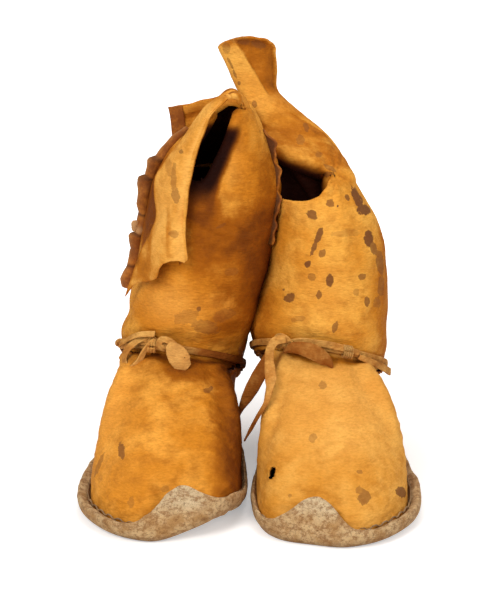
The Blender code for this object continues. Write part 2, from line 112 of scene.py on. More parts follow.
LEFT_BROAD_TAIL = [(1.25, 0.75, 8.5), (0.9, 0.4, 7.7), (0.5, 0.25, 6.9), (0.08, 0.15, 6.1),
                   (-0.3, 0.05, 5.4), (-0.6, 0.0, 4.75), (-0.75, -0.05, 4.1)]
LEFT_THIN_TAIL = [(2.4, 0.3, 9.75), (1.8, 0.1, 9.7), (1.45, 0.0, 9.25), (1.35, -0.2, 8.6),
                  (1.4, -0.95, 8.0), (1.45, -1.85, 7.6), (1.35, -2.75, 7.05),
                  (1.12, -3.25, 6.45), (0.7, -3.35, 5.75), (0.2, -3.1, 4.7), (-0.3, -2.85, 3.65)]


# ---- sums ------------------------------------------------------------------------------------

def ease(low, high, value):
    """0 at low, 1 at high, and a smooth step between. Low may be the larger one."""
    t = np.clip((value - low) / (high - low), 0, 1)
    return t * t * (3 - 2 * t)


def bell(value, centre, width):
    """A smooth bump of height 1 round the centre."""
    return np.exp(-((value - centre) / width) ** 2)


def apart(angle, centre):
    """The signed gap in degrees from centre to angle."""
    return (angle - centre + 180) % 360 - 180


def unit(v):
    """The vectors at length 1."""
    return v / np.maximum(np.linalg.norm(v, axis=-1, keepdims=True), 1e-9)


def lattice(i, j, k, seed):
    """A repeatable number from -1 to 1 for each whole-numbered point."""
    n = (i * 73856093) ^ (j * 19349663) ^ (k * 83492791) ^ (seed * 26544357)
    n = (n ^ (n >> 13)) & 0x7FFFFFFF
    n = (n * 1274126177) & 0x7FFFFFFF
    return ((n ^ (n >> 16)) & 0xFFFF) / 32767.5 - 1


def noise(p, scale, seed=0):
    """Smooth noise from -1 to 1 at these points, with features 1/scale across."""
    q = np.asarray(p, float) * scale + 1000.0
    i = np.floor(q).astype(np.int64)
    f = q - i
    f = f * f * (3 - 2 * f)
    total = 0.0
    for corner in range(8):
        d = (corner & 1, corner >> 1 & 1, corner >> 2)
        weight = 1.0
        for c in range(3):
            weight = weight * (f[..., c] if d[c] else 1 - f[..., c])
        total = total + weight * lattice(*(i[..., c] + d[c] for c in range(3)), seed)
    return total


def fractal(p, scale, octaves=3, seed=0):
    """Noise in several octaves, each half as strong and twice as fine."""
    scale = np.asarray(scale, float)
    return sum(0.5 ** o * noise(p, scale * 2 ** o, seed + o) for o in range(octaves))


def catmull(a, b, c, d, t):
    return 0.5 * ((2 * b) + (c - a) * t + (2 * a - 5 * b + 4 * c - d) * t * t
                  + (3 * b - a - 3 * c + d) * t * t * t)


def smooth_path(points, count, closed=False):
    """Count points, evenly spaced, on a smooth curve through the given ones."""
    p = np.asarray(points, float)
    n = len(p)
    t = np.linspace(0, 1, 24, endpoint=False)[:, None]
    dense = []
    for i in range(n if closed else n - 1):
        near = [p[(i + k) % n] if closed else p[min(n - 1, max(0, i + k))] for k in (-1, 0, 1, 2)]
        dense.append(catmull(*near, t))
    dense = np.concatenate(dense + [p[:1] if closed else p[-1:]])
    run = np.concatenate(([0], np.cumsum(np.linalg.norm(np.diff(dense, axis=0), axis=1))))
    want = np.linspace(0, run[-1], count + closed)[:count]
    return np.stack([np.interp(want, run, dense[:, c]) for c in range(p.shape[1])], 1)


def between(rows, key):
    """The rows' columns at these keys, by smooth interpolation."""
    rows, key = np.asarray(rows, float), np.asarray(key, float)
    k = np.clip(np.searchsorted(rows[:, 0], key, side="right") - 1, 0, len(rows) - 2)
    t = np.clip((key - rows[k, 0]) / (rows[k + 1, 0] - rows[k, 0]), 0, 1)
    near = [rows[np.clip(k + d, 0, len(rows) - 1)] for d in (-1, 0, 1, 2)]
    return [catmull(*(r[..., c] for r in near), t) for c in range(1, rows.shape[1])]


def round_section(angle, rx, ry):
    """The point at this angle on a rounded oval."""
    c, s = np.cos(np.radians(angle)), np.sin(np.radians(angle))
    r = (abs(c) ** SQUARENESS + abs(s) ** SQUARENESS) ** (-1 / SQUARENESS)
    return rx * c * r, ry * s * r


def loft(rings, stations):
    """Rows on smooth curves through a list of rings, and each row's place among the rings."""
    rings = np.asarray(rings, float)
    gaps = np.linalg.norm(np.diff(rings, axis=0), axis=-1)
    run = np.concatenate(([0], np.cumsum(gaps.mean(axis=1))))
    place = np.interp(np.linspace(0, run[-1], stations), run, np.arange(len(rings)))
    k = np.clip(place.astype(int), 0, len(rings) - 2)
    t = (place - k)[:, None, None]
    apart_by = np.maximum(gaps, 0.02)[..., None] ** 0.5
    a, b, c, d = (rings[np.clip(k + step, 0, len(rings) - 1)] for step in (-1, 0, 1, 2))
    before, here, after = (apart_by[np.clip(k + step, 0, len(gaps) - 1)] for step in (-1, 0, 1))
    first, last = (k == 0)[:, None, None], (k == len(rings) - 2)[:, None, None]
    out = (c - b) + here * ((b - a) / before - (c - a) / (before + here))
    into = (c - b) - here * ((d - b) / (here + after) - (d - c) / after)
    out, into = np.where(first, c - b, out), np.where(last, c - b, into)
    rows = ((2 * t ** 3 - 3 * t * t + 1) * b + (t ** 3 - 2 * t * t + t) * out
            + (3 * t * t - 2 * t ** 3) * c + (t ** 3 - t * t) * into)
    return np.swapaxes(rows, 0, 1), place


# ---- the boots' own shapes -------------------------------------------------------------------

class Boot:
    """Where one boot stands, the ring on which its ankle is tied, and its leg's sections."""

    def __init__(self, side, place, ankle, radii, tied, fall, roll, sections, lift):
        self.side, self.place, self.ankle, self.radii = side, np.array(place), ankle, radii
        self.tied, self.fall, self.roll = tied, fall, roll
        self.sections, self.lift = sections, lift

    def ring(self, angle, out=0.0, up=0.0):
        """The point of the tied ankle ring at this angle, moved out and up."""
        x, y = round_section(angle, self.radii[0] + out, self.radii[1] + out)
        return np.stack([self.ankle[0] + x, self.ankle[1] + y,
                         self.tied + self.roll * x - self.fall * y + up], -1)

    def put(self, p):
        return p @ self.place[:3, :3].T + self.place[:3, 3]


def no_lift(p):
    """The left sole lies flat."""
    return np.zeros(p.shape[:-1])


def right_lift(p):
    """How far the right sole's toe stands off the floor, on its inner side."""
    return 1.25 * ease(4.0, 10.5, -p[..., 1]) * ease(-6.4, -1.0, p[..., 0])


RIGHT = Boot("right",
             Matrix.Translation((-5.3, 0.9, 0)) @ Matrix.Rotation(math.radians(-3.5), 4, "Z")
             @ Matrix.Diagonal((-1, 1, 1, 1)) @ Matrix.Translation((-5.6, 0, 0)),
             (-4.7, 6.6), (4.1, 4.8), 5.95, 0.42, -0.14, RIGHT_SECTIONS, right_lift)
LEFT = Boot("left", Matrix.Identity(4), (4.85, 6.0), (4.5, 4.9), 6.25, 0.42, -0.15, LEFT_SECTIONS,
            no_lift)


def sole_rim(count):
    """The sole's outline as evenly spaced points, and the way inwards at each."""
    path = smooth_path([(x, y, 0) for x, y in SOLE_OUTLINE], count, closed=True)
    along = unit(np.roll(path, -1, 0) - np.roll(path, 1, 0))
    return path, np.stack([-along[:, 1], along[:, 0], 0 * along[:, 0]], 1)


def tab(p):
    """How much of the toe tab stands at a rim point: 1 in its middle, 0 past its ends."""
    off = p[..., 0] - TAB_CENTRE_X
    reach = np.where(off < 0, TAB_REACH_INNER, TAB_REACH_OUTER)
    return np.where(p[..., 1] > -9, 0.0, 1 - ease(0.0, 1.0, abs(off) / reach))


def upper_inset(p):
    """How far inside the rim the upper starts at a rim point."""
    return UPPER_INSET + UPPER_INSET_SWING * (p[..., 0] - 5.6) / 5.6 + TOE_INSET * tab(p)


def upper_start(boot, angle):
    """Where the upper meets the sole at this angle on the ankle ring."""
    path, inwards = sole_rim(700)
    p = boot.put(path + inwards * upper_inset(path)[:, None])
    p[:, 2] = UPPER_START + boot.lift(p)
    at = np.degrees(np.arctan2((p[:, 1] - boot.ankle[1]) / boot.radii[1],
                               (p[:, 0] - boot.ankle[0]) / boot.radii[0])) % 360
    order = np.argsort(at)
    return np.stack([np.interp(angle % 360, at[order], p[order, c], period=360)
                     for c in range(3)], -1)


def leg_point(boot, angle, height):
    """A point of the leg's outer face: the ankle ring at the bottom, then the sections."""
    angle, height = np.broadcast_arrays(np.asarray(angle, float), np.asarray(height, float))
    low = boot.ring(angle, 0.0, LEG_GAP)
    left, right, front, back = between(boot.sections, height)
    x, y = round_section(angle, (right - left) / 2, (back - front) / 2)
    there = np.stack([(left + right) / 2 + x, (front + back) / 2 + y, height], -1)
    floor = low[..., 2] + TIED_HEIGHT
    t = ease(floor, np.maximum(boot.sections[0][0], floor + TIED_HEIGHT), height)
    mixed = low + (there - low) * t[..., None]
    mixed[..., 2] = height
    return mixed


# ---- meshes ----------------------------------------------------------------------------------

EDGE = (0.0, 0.07, 0.27, 0.6)  # where the rows of a rounded edge lie between a grid's last two
# The fields on each point: a stain and how dark it is; darkening, part burnt tone and part painted
# shade; lightening, part paler hide and part painted highlight; painted shade inside.
FIELDS = ("stain", "depth", "burn", "pale", "inside")


def normals(grid, closed):
    """The way out of a grid's face at each point."""
    across = (np.roll(grid, -1, 0) - np.roll(grid, 1, 0)) if closed else np.gradient(grid, axis=0)
    return unit(np.cross(across, np.gradient(grid, axis=1)))


def with_edges(a, axis):
    """The array with extra rows close to both ends of this axis."""
    a = np.moveaxis(a, axis, 0)
    first = np.stack([a[0] + (a[1] - a[0]) * t for t in EDGE])
    last = np.stack([a[-1] + (a[-2] - a[-1]) * t for t in reversed(EDGE)])
    return np.moveaxis(np.concatenate([first, a[1:-1], last]), 0, axis)


def edge_profile(count):
    """How thick a wall is at each row, as a share: rounded off to nothing at both ends."""
    rise = [math.sqrt(1 - (1 - t) ** 2) for t in EDGE]
    return np.array(rise + [1.0] * (count - 2 * len(EDGE)) + rise[::-1])


def shell(grid, thickness, closed=False, hole=None, inside_shade=1.0, **fields):
    """A wall of even thickness behind a grid, with rounded edges: vertices, faces and fields."""
    fields = {k: np.broadcast_to(v, grid.shape[:2]) for k, v in fields.items()}
    for axis in (1,) if closed else (1, 0):
        grid = with_edges(grid, axis)
        fields = {k: with_edges(v, axis) for k, v in fields.items()}
    n, m = grid.shape[:2]
    share = np.broadcast_to(edge_profile(m), (n, m)).copy()
    if not closed:
        share *= edge_profile(n)[:, None]
    normal = normals(grid, closed)
    half = thickness / 2
    middle = grid - normal * half
    front = middle + normal * (half * share)[..., None]
    back = middle - normal * (half * share)[..., None]
    index = np.arange(n * m).reshape(n, m)
    inner = share > 0
    rear = index.copy()
    rear[inner] = n * m + np.arange(inner.sum())
    i = np.arange(n if closed else n - 1)[:, None]
    j = np.arange(m - 1)[None]
    keep = np.ones((len(i), m - 1), bool)
    rims = []
    if hole is not None:
        gone = hole(grid)
        for (a, b) in ((0, 0), (1, 0), (1, 1), (0, 1)):
            keep &= ~gone[(i + a) % n, j + b]
        away = ~keep
        for di, dj, one, two in ((-1, 0, (0, 0), (0, 1)), (1, 0, (1, 1), (1, 0)),
                                 (0, -1, (1, 0), (0, 0)), (0, 1, (0, 1), (1, 1))):
            edge = away & ~np.roll(away, (-di, -dj), (0, 1))
            ii, jj = np.nonzero(edge)
            a, b = ((ii + one[0]) % n, jj + one[1]), ((ii + two[0]) % n, jj + two[1])
            rims.append(np.stack([index[a], index[b], rear[b], rear[a]], 1))

    def quads(at, order):
        corners = [at[(i + a) % n, j + b] for a, b in order]
        return np.stack(corners, -1)[keep]

    faces = np.concatenate([quads(index, ((0, 0), (1, 0), (1, 1), (0, 1))),
                            quads(rear, ((0, 0), (0, 1), (1, 1), (1, 0))), *rims])
    vertices = np.concatenate([front.reshape(-1, 3), back[inner]])
    out = {k: np.concatenate([v.reshape(-1), v[inner]]) for k, v in fields.items()}
    # Painted shade: back faces, and points the inside field marks, are darkened as much as this
    # piece takes; the thin rim is not.
    front_shade = np.where(inner, 0.0, 0.5).reshape(-1)
    if "inside" in out:
        front_shade = np.maximum(front_shade, out["inside"][:n * m] * 0.5 + 0.5)
    out["inside"] = inside_shade * np.concatenate([front_shade, np.ones(inner.sum())])
    return vertices, faces, out


def closed_loops(rows):
    """A closed surface through rows of points, each row a loop, with a point at each end."""
    k, n = rows.shape[:2]
    ends = [rows[0].mean(0), rows[-1].mean(0)]
    vertices = np.concatenate([rows.reshape(-1, 3), ends])
    i, j = np.arange(k - 1)[:, None], np.arange(n)[None]
    quads = np.stack([i * n + j, i * n + (j + 1) % n, (i + 1) * n + (j + 1) % n,
                      (i + 1) * n + j], -1).reshape(-1, 4)
    around = np.arange(n)
    caps = [np.stack([row + around, row + (around + 1) % n, 0 * around + tip], 1)
            for row, tip in ((0, k * n), ((k - 1) * n, k * n + 1))]
    return vertices, quads.tolist() + caps[0].tolist() + caps[1].tolist(), {}


def tube(path, radius, sides=10):
    """A round strand along a path, its ends rounded off."""
    path = np.asarray(path, float)
    forward = unit(np.gradient(path, axis=0))
    side = unit(np.cross(forward, (0.13, 0.21, 1.0)))
    up = np.cross(side, forward)
    turn = np.linspace(0, 2 * math.pi, sides, endpoint=False)[None, :, None]
    run = np.linspace(0, 1, len(path))
    close = np.sqrt(np.clip(1 - np.maximum(0, abs(run - 0.5) * 2 - 0.94) ** 2 / 0.0037, 0.04, 1))
    r = (radius * close)[:, None, None]
    rows = path[:, None] + (side[:, None] * np.cos(turn) + up[:, None] * np.sin(turn)) * r
    return closed_loops(rows)


def strap(route, widths, facing, count=60, across=9, thickness=0.14, curve=0.0, **fields):
    """A flat thong along a route. Facing is one direction, or one for each route point."""
    path = smooth_path(route, count)
    width = np.interp(np.linspace(0, 1, count), np.linspace(0, 1, len(widths)), widths)
    width = width * (1 + 0.1 * noise(path, 1.1, 3))
    facing = np.asarray(facing, float)
    if facing.ndim > 1:
        facing = smooth_path(facing, count)
    forward = unit(np.gradient(path, axis=0))
    side = unit(np.cross(forward, facing))
    front = np.cross(side, forward)
    t = np.linspace(0.5, -0.5, across)
    bow = thickness + curve * (0.25 - t ** 2) * 4
    grid = (path[:, None] + side[:, None] * (width[:, None] * t)[..., None]
            + front[:, None] * (bow + 0 * width[:, None])[..., None])
    grid = grid + front[:, None] * (0.03 * noise(grid, 1.7, 5))[..., None]
    return shell(grid, thickness, **fields)


def lump(centre, radii, seed, groove=0.1):
    """A knot of pulled thong: a ball cut by the grooves between its turns."""
    turn = np.linspace(0, 2 * math.pi, 48, endpoint=False)[None]
    tilt = np.linspace(0.06, math.pi - 0.06, 30)[:, None]
    ball = np.stack([np.sin(tilt) * np.cos(turn), np.sin(tilt) * np.sin(turn),
                     np.cos(tilt) + 0 * turn], -1)
    grooves = bell(np.sin(4.2 * ball[..., 0] + 3.1 * ball[..., 2] + seed), 0, 0.3)
    swell = 1 - groove * grooves + 0.12 * noise(ball, 1.6, seed)
    return closed_loops(np.asarray(centre) + ball * radii * swell[..., None])


def joined(*shapes):
    """Several closed shapes as one list of vertices, faces and fields."""
    vertices, faces, fields, start = [], [], {k: [] for k in FIELDS}, 0
    for points, polygons, found in shapes:
        vertices.append(points)
        faces += [[start + v for v in f] for f in polygons]
        for k in FIELDS:
            fields[k].append(found.get(k, np.zeros(len(points))))
        start += len(points)
    return np.concatenate(vertices), faces, {k: np.concatenate(v) for k, v in fields.items()}


def metres(p):
    """Points in the frame, from points in this script's centimetres."""
    return (np.asarray(p, float) - CENTRE) * CM


def placed(name, data):
    """A new object in the scene with this data."""
    obj = bpy.data.objects.new(name, data)
    bpy.context.scene.collection.objects.link(obj)
    return obj


def piece(name, shape, material, stands_for=()):
    """One object from a shape in centimetres. Its resting points are kept for its texture."""
    vertices, faces, fields = shape
    mesh = bpy.data.meshes.new(name)
    mesh.from_pydata(metres(vertices).tolist(), [], [list(f) for f in faces])
    rest = mesh.attributes.new("rest", "FLOAT_VECTOR", "POINT")
    rest.data.foreach_set("vector", vertices.astype(np.float32).ravel())
    for k in FIELDS:
        values = mesh.attributes.new(k, "FLOAT", "POINT")
        found = fields.get(k)
        if found is not None:
            values.data.foreach_set("value", np.asarray(found, np.float32))
    edit = bmesh.new()
    edit.from_mesh(mesh)
    bmesh.ops.recalc_face_normals(edit, faces=edit.faces)
    edit.to_mesh(mesh)
    edit.free()
    mesh.shade_smooth()
    obj = placed(name, mesh)
    mesh.materials.append(material)
    if stands_for:
        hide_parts(*stands_for)
    return obj


# ---- marks on the hide -----------------------------------------------------------------------

def marks(p, spots):
    """The stain fields at points: how far inside the nearest spot, and how dark that spot is."""
    field = np.full(p.shape[:-1], -1.0)
    depth = np.zeros(p.shape[:-1])
    for x, y, z, wide, tall, lean, dark in spots:
        c, s = math.cos(math.radians(lean)), math.sin(math.radians(lean))
        dx = p[..., 0] - x
        up = (p[..., 2] - z) * 0.95 + (p[..., 1] - y) * 0.3
        deep = abs(p[..., 1] - y) / 2.2
        a, b = dx * c + up * s, -dx * s + up * c
        inside = 1 - np.sqrt((a / wide) ** 2 + (b / tall) ** 2 + deep ** 2)
        nearer = inside > field
        field = np.where(nearer, inside, field)
        depth = np.where(nearer, dark, depth)
    return {"stain": field, "depth": depth}


# ---- materials -------------------------------------------------------------------------------

class Nodes:
    """A material's nodes, made with short calls."""

    def __init__(self, name):
        self.material = bpy.data.materials.new(name)
        self.material.use_nodes = True
        self.tree = self.material.node_tree
        self.shader = self.tree.nodes["Principled BSDF"]

    def node(self, kind, out=0, settings=None, **inputs):
        made = self.tree.nodes.new(kind)
        for key, value in (settings or {}).items():
            setattr(made, key, value)
        for key, value in inputs.items():
            self.into(made.inputs[int(key[1:]) if key[0] == "i" and key[1:].isdigit()
                                  else key.replace("_", " ")], value)
        return made.outputs[out]

    def into(self, socket, value):
        if isinstance(value, bpy.types.NodeSocket):
            self.tree.links.new(value, socket)
        elif isinstance(value, tuple) and len(value) == 3 and socket.type == "RGBA":
            socket.default_value = (*value, 1)
        else:
            socket.default_value = value

    def field(self, name):
        return self.node("ShaderNodeAttribute", "Vector" if name == "rest" else "Fac",
                         {"attribute_name": name})

    def noise(self, scale, detail=4.0, rough=0.55, stretch=None, shift=0.0):
        at = self.field("rest")
        at = self.node("ShaderNodeMapping", i0=at, Scale=stretch or (1, 1, 1),
                       Location=(shift, shift, shift))
        return self.node("ShaderNodeTexNoise", "Fac", Vector=at, Scale=scale, Detail=detail,
                         Roughness=rough)

    def cells(self, scale, stretch=(1, 1, 1)):
        at = self.node("ShaderNodeMapping", i0=self.field("rest"), Scale=stretch)
        return self.node("ShaderNodeTexVoronoi", "Distance", Vector=at, Scale=scale)

    def sum(self, operation, a, b=0.0, c=0.0):
        return self.node("ShaderNodeMath", 0, {"operation": operation}, i0=a, i1=b, i2=c)

    def step(self, value, low, high):
        return self.node("ShaderNodeMapRange", 0, {"interpolation_type": "SMOOTHSTEP"},
                         Value=value, From_Min=low, From_Max=high)

    def mix(self, factor, a, b, how="MIX"):
        return self.node("ShaderNodeMix", 2, {"data_type": "RGBA", "blend_type": how},
                         i0=factor, i6=a, i7=b)

    def bump(self, height, strength, distance, normal=None):
        inputs = {"Strength": strength, "Distance": distance, "Height": height}
        if normal is not None:
            inputs["Normal"] = normal
        return self.node("ShaderNodeBump", 0, None, **inputs)


def hide(name, light, middle, deep, grain=1.0, blotch=0.28, shift=0.0):
    """Smoked buckskin: mottled, grained, stained and burnt, with painted shade along its creases
    and on its inner faces, and painted highlights.
    """
    n = Nodes(name)
    broad = n.step(n.noise(blotch, 4, 0.55, shift=shift), 0.36, 0.64)
    patch = n.step(n.noise(1.1, 6, 0.62, (1, 1, 1.2), shift + 7), 0.42, 0.72)
    fine = n.step(n.noise(7.0, 5, 0.72, (0.5, 0.5, 1.8), shift), 0.34, 0.70)
    colour = n.mix(broad, light, middle)
    colour = n.mix(n.sum("MULTIPLY", patch, 0.6), colour, deep)
    # Paler hide and painted highlights, towards a lighter tan.
    colour = n.mix(n.sum("MULTIPLY", n.field("pale"), 0.7), colour,
                   tuple(min(1, c * 1.12 + 0.02) for c in light))
    # Painted shade with the hide's own burnt tone: darker in two steps towards deep brown in
    # creases, gaps and sides turned from the lamps.
    thick = n.sum("MULTIPLY_ADD", n.sum("SUBTRACT", n.noise(0.8, 6, 0.68, shift=11), 0.5), 1.3,
                  n.field("burn"))
    some = n.step(n.field("burn"), 0.0, 0.3)
    colour = n.mix(n.sum("MULTIPLY", n.step(thick, 0.0, 0.6), some), colour,
                   tuple(c * 1.05 for c in deep))
    colour = n.mix(n.sum("MULTIPLY", n.step(thick, 0.45, 1.15), some), colour,
                   (0.155, 0.036, 0.003))
    colour = n.mix(n.sum("MULTIPLY", fine, 0.28), colour, tuple(c * 0.6 for c in deep))
    ragged = n.sum("MULTIPLY_ADD", n.sum("SUBTRACT", n.noise(2.6, 5, 0.65, shift=3), 0.5), 1.5,
                   n.field("stain"))
    stained = n.sum("MULTIPLY", n.step(ragged, -0.01, 0.10), n.field("depth"))
    colour = n.mix(stained, colour, (0.17, 0.058, 0.017))
    speck = n.step(n.cells(3.1), 0.06, 0.03)
    few = n.step(n.noise(0.8, 2, 0.5, shift=21), 0.50, 0.6)
    colour = n.mix(n.sum("MULTIPLY", n.sum("MULTIPLY", speck, few), 0.65), colour,
                   (0.13, 0.045, 0.012))
    # Painted shade: inner faces, and the pits and slits marked as inside, go nearly black.
    dark = n.mix(1.0, colour, (0.07, 0.035, 0.022), "MULTIPLY")
    colour = n.mix(n.step(n.field("inside"), 0.5, 1.0), colour, dark)
    n.into(n.shader.inputs["Base Color"], colour)
    n.into(n.shader.inputs["Roughness"], n.sum("MULTIPLY_ADD", fine, 0.2, 0.66))
    n.shader.inputs["Specular IOR Level"].default_value = 0.08
    pores = n.cells(16.0, (1, 1, 0.8))
    height = n.sum("MULTIPLY_ADD", n.noise(5.0, 6, 0.7, (0.6, 0.6, 2.2)), 0.9,
                   n.sum("MULTIPLY", pores, 0.25))
    soft = n.bump(n.noise(1.5, 6, 0.62, (0.6, 0.6, 1.8)), 0.6 * grain, 0.003)
    n.into(n.shader.inputs["Normal"], n.bump(height, 0.6 * grain, 0.0006, soft))
    return n.material


def rawhide():
    """Dried rawhide: cream, with brown mottling and specks, rough and pitted."""
    n = Nodes("rawhide")
    cream, straw, brown = (0.70, 0.46, 0.22), (0.50, 0.26, 0.085), (0.14, 0.045, 0.010)
    colour = n.mix(n.step(n.noise(0.9, 4, 0.6), 0.38, 0.62), cream, straw)
    # Lighter and darker where the sole marks it; the darkening inside its dish is painted shade.
    colour = n.mix(n.sum("MULTIPLY", n.field("pale"), 0.6), colour, (0.80, 0.64, 0.40))
    colour = n.mix(n.sum("MULTIPLY", n.field("burn"), 0.9), colour, (0.27, 0.16, 0.075))
    mottle = n.step(n.noise(2.2, 7, 0.8, (1, 1, 1.5), 5), 0.46, 0.58)
    colour = n.mix(n.sum("MULTIPLY", mottle, 0.8), colour, (0.33, 0.145, 0.042))
    speck = n.step(n.noise(6.5, 6, 0.85, shift=9), 0.53, 0.64)
    colour = n.mix(n.sum("MULTIPLY", speck, 0.7), colour, brown)
    n.into(n.shader.inputs["Base Color"], colour)
    n.shader.inputs["Roughness"].default_value = 0.72
    n.shader.inputs["Specular IOR Level"].default_value = 0.3
    coarse = n.bump(n.noise(2.4, 6, 0.7), 0.8, 0.005)
    n.into(n.shader.inputs["Normal"], n.bump(n.noise(9, 6, 0.75), 0.6, 0.0012, coarse))
    return n.material


def dark_hide(name, base, edge):
    """The stained seam strips and thread: dark red-brown, worn lighter in patches."""
    n = Nodes(name)
    colour = n.mix(n.step(n.noise(1.4, 5, 0.65), 0.4, 0.68), base, edge)
    colour = n.mix(n.sum("MULTIPLY", n.step(n.noise(6, 5, 0.7), 0.5, 0.7), 0.4), colour,
                   tuple(c * 0.4 for c in base))
    # Paler where marked; darker with painted shade at the strips' roots and under their steps.
    colour = n.mix(n.sum("MULTIPLY", n.field("pale"), 0.8), colour, (0.55, 0.30, 0.12))
    colour = n.mix(n.sum("MULTIPLY", n.field("burn"), 0.8), colour,
                   tuple(c * 0.25 for c in base))
    n.into(n.shader.inputs["Base Color"], colour)
    n.shader.inputs["Roughness"].default_value = 0.7
    n.shader.inputs["Specular IOR Level"].default_value = 0.25
    n.into(n.shader.inputs["Normal"], n.bump(n.noise(7, 6, 0.7), 0.5, 0.001))
    return n.material


# ---- pieces: soles ---------------------------------------------------------------------------

# The sole's section from the tread, over the rim and down inside: how far in at the sides,
# how far in at the tab, its height, and how much it takes of the tab's curl and rise
SOLE_SECTION = [
    (0.95, 0.95, 0.00, 0.00, 0.00), (0.55, 0.55, 0.05, 0.00, 0.00), (0.22, 0.24, 0.30, 0.02, 0.02),
    (0.06, 0.06, 0.55, 0.10, 0.14), (0.00, 0.00, 0.80, 0.24, 0.34),
    (-0.02, -0.02, 1.05, 0.62, 0.70), (0.02, 0.00, 1.20, 0.92, 0.94),
    (0.10, 0.07, 1.30, 1.02, 1.02), (0.22, 0.19, 1.29, 1.03, 1.00),
    (0.36, 0.27, 1.18, 0.88, 0.84), (0.50, 0.28, 1.04, 0.55, 0.58),
    (0.60, 0.27, 0.84, 0.30, 0.32), (0.72, 0.34, 0.60, 0.10, 0.10),
    (1.00, 0.80, 0.34, 0.00, 0.00), (1.60, 1.55, 0.26, 0.00, 0.00),
]
SOLE_ROWS, INSIDE_FROM = 56, 34  # the section's fine rows, and the first on its inside


def sole(boot, material):
    """A dished sole with a rim all round and the toe tab curled up and back."""
    path, inwards = sole_rim(SOLE_POINTS)
    stand = tab(path)
    outer = upper_inset(path) - TOE_INSET * stand
    rows = []
    for side_in, tab_in, height, curl, rise in SOLE_SECTION:
        wide = side_in * (1 if side_in < 0.3 else 0.25 + 0.75 * outer / 0.62)
        inset = wide + (tab_in - wide) * stand + TAB_CURL * curl * stand
        p = boot.put(path + inwards * inset[:, None])
        p[:, 2] = height + TAB_RISE * rise * stand + boot.lift(p)
        rows.append(p)
    rows = np.swapaxes(loft(rows, SOLE_ROWS)[0], 0, 1)
    high = ease(0.5, 1.2, rows[..., 2])
    away = unit(rows - rows.mean(axis=(0, 1)) * (1, 1, 0))
    rough = (0.10 * fractal(rows, 0.55, 2, 31) + 0.055 * fractal(rows, 2.4, 3, 37)) * high
    rows = rows + away * (0.6 * rough)[..., None] * (1, 1, 0)
    wave = 0.13 * fractal(path * (1, 1, 0), 0.6, 3, 41 + len(boot.side))
    rows[..., 2] += ease(0.9, 1.25, rows[..., 2]) * (wave + 0.04 * noise(rows, 3.0, 43))
    rows[..., 2] = np.maximum(rows[..., 2], 0.0)
    middle = boot.put(np.array((5.6, 0.5, 0.0)))
    under = [rows[0] + (middle - rows[0]) * (1, 1, 0) * t for t in (0.9, 0.6, 0.3)]
    floor = [rows[-1] + (middle + (0, 0, 0.26) - rows[-1]) * t for t in (0.15, 0.3, 0.6, 0.9)]
    rows = np.concatenate([under, rows, floor])
    ledge = ease(1.0, 1.25, rows[..., 2]) * (1 - np.clip(stand * 2.5, 0, 1))
    shape = closed_loops(rows)
    inner = np.zeros(rows.shape[:2])
    inner[len(under) + INSIDE_FROM:] = 1.0
    # Painted shade inside the dish, and darker along the floor; lighter on the tab's upper part and
    # along the rim's top.
    burn = np.clip(0.75 * inner + 0.35 * bell(rows[..., 2], 0.1, 0.3), 0, 1)
    pale = ease(0.1, 0.7, stand) * ease(1.6, 2.6, rows[..., 2]) * (1 - inner)
    shape[2]["burn"] = np.append(burn.ravel(), (0, 1))
    shape[2]["pale"] = np.append((pale + 0.25 * ledge * (1 - inner)).ravel(), (0, 0))
    name = f"{boot.side}_sole"
    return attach(piece(f"{name}_rawhide", shape, material, [name]),
                   f"{boot.side}_foot")


def stitching(boot, material):
    """One thread in running stitches along the seam between the sole and the upper."""
    count = 900
    path, inwards = sole_rim(count)
    p = boot.put(path + inwards * (upper_inset(path) - 0.2)[:, None])
    p[:, 2] = SEAM_RISE + boot.lift(p)
    open_part = np.nonzero(tab(path) < 0.03)[0]
    jump = np.diff(open_part) > 1
    order = np.roll(open_part, -(np.argmax(jump) + 1)) if jump.any() else open_part
    line = smooth_path(p[order][::12], count)
    wave = np.sin(np.arange(count) * 2 * math.pi / 16)
    line[:, 2] += 0.075 * np.sign(wave) * abs(wave) ** 0.5
    shape = tube(line, THREAD_RADIUS, 8)
    name = f"{boot.side}_sole_stitching"
    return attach(piece(f"{boot.side}_seam_thread", shape, material, [name]),
                   f"{boot.side}_foot")


# ---- pieces: uppers --------------------------------------------------------------------------

def upper_grid(boot, low, high, steps, stations):
    """The stretch of the upper between two ring angles, tucked under the leg at its top."""
    angle = np.linspace(low, high, steps)[:, None]
    t = np.linspace(0, 1, stations)[None]
    start, end = upper_start(boot, angle), boot.ring(angle)
    run = np.linalg.norm((end - start)[..., :2], axis=-1)
    toeward = ease(4.0, 10.5, run)
    flat = 0.5 * toeward
    inwards = (1 - np.cos(t * math.pi / 2)) ** (1.55 - 0.55 * toeward)
    climb = (1 - flat) * np.sin(t * math.pi / 2) + flat * inwards
    grid = start + (end - start) * inwards[..., None]
    grid[..., 2] = start[..., 2] + (end - start)[..., 2] * climb
    grid[..., 2] -= 0.3 * (1 - ease(0, 0.03, t))
    tuck = [boot.ring(angle, *move) for move in ((0.05, 0.12), (0.04, 0.26), (0.0, 0.4))]
    return (np.concatenate([grid] + tuck, axis=1), angle,
            np.concatenate([t, [[1.02, 1.04, 1.06]]], axis=1))


def waist(boot, angle, t):
    """The hollow at the side of each vamp, and the swelling over its top, by ring angle."""
    if boot.side == "left":
        return -0.85 * bell(t, 0.62, 0.24) * bell(apart(angle, 338), 0, 26)
    return (0.42 * bell(t, 0.80, 0.15) * bell(apart(angle, 200), 0, 26)
            - 0.35 * bell(t, 0.75, 0.2) * bell(apart(angle, 340), 0, 24))


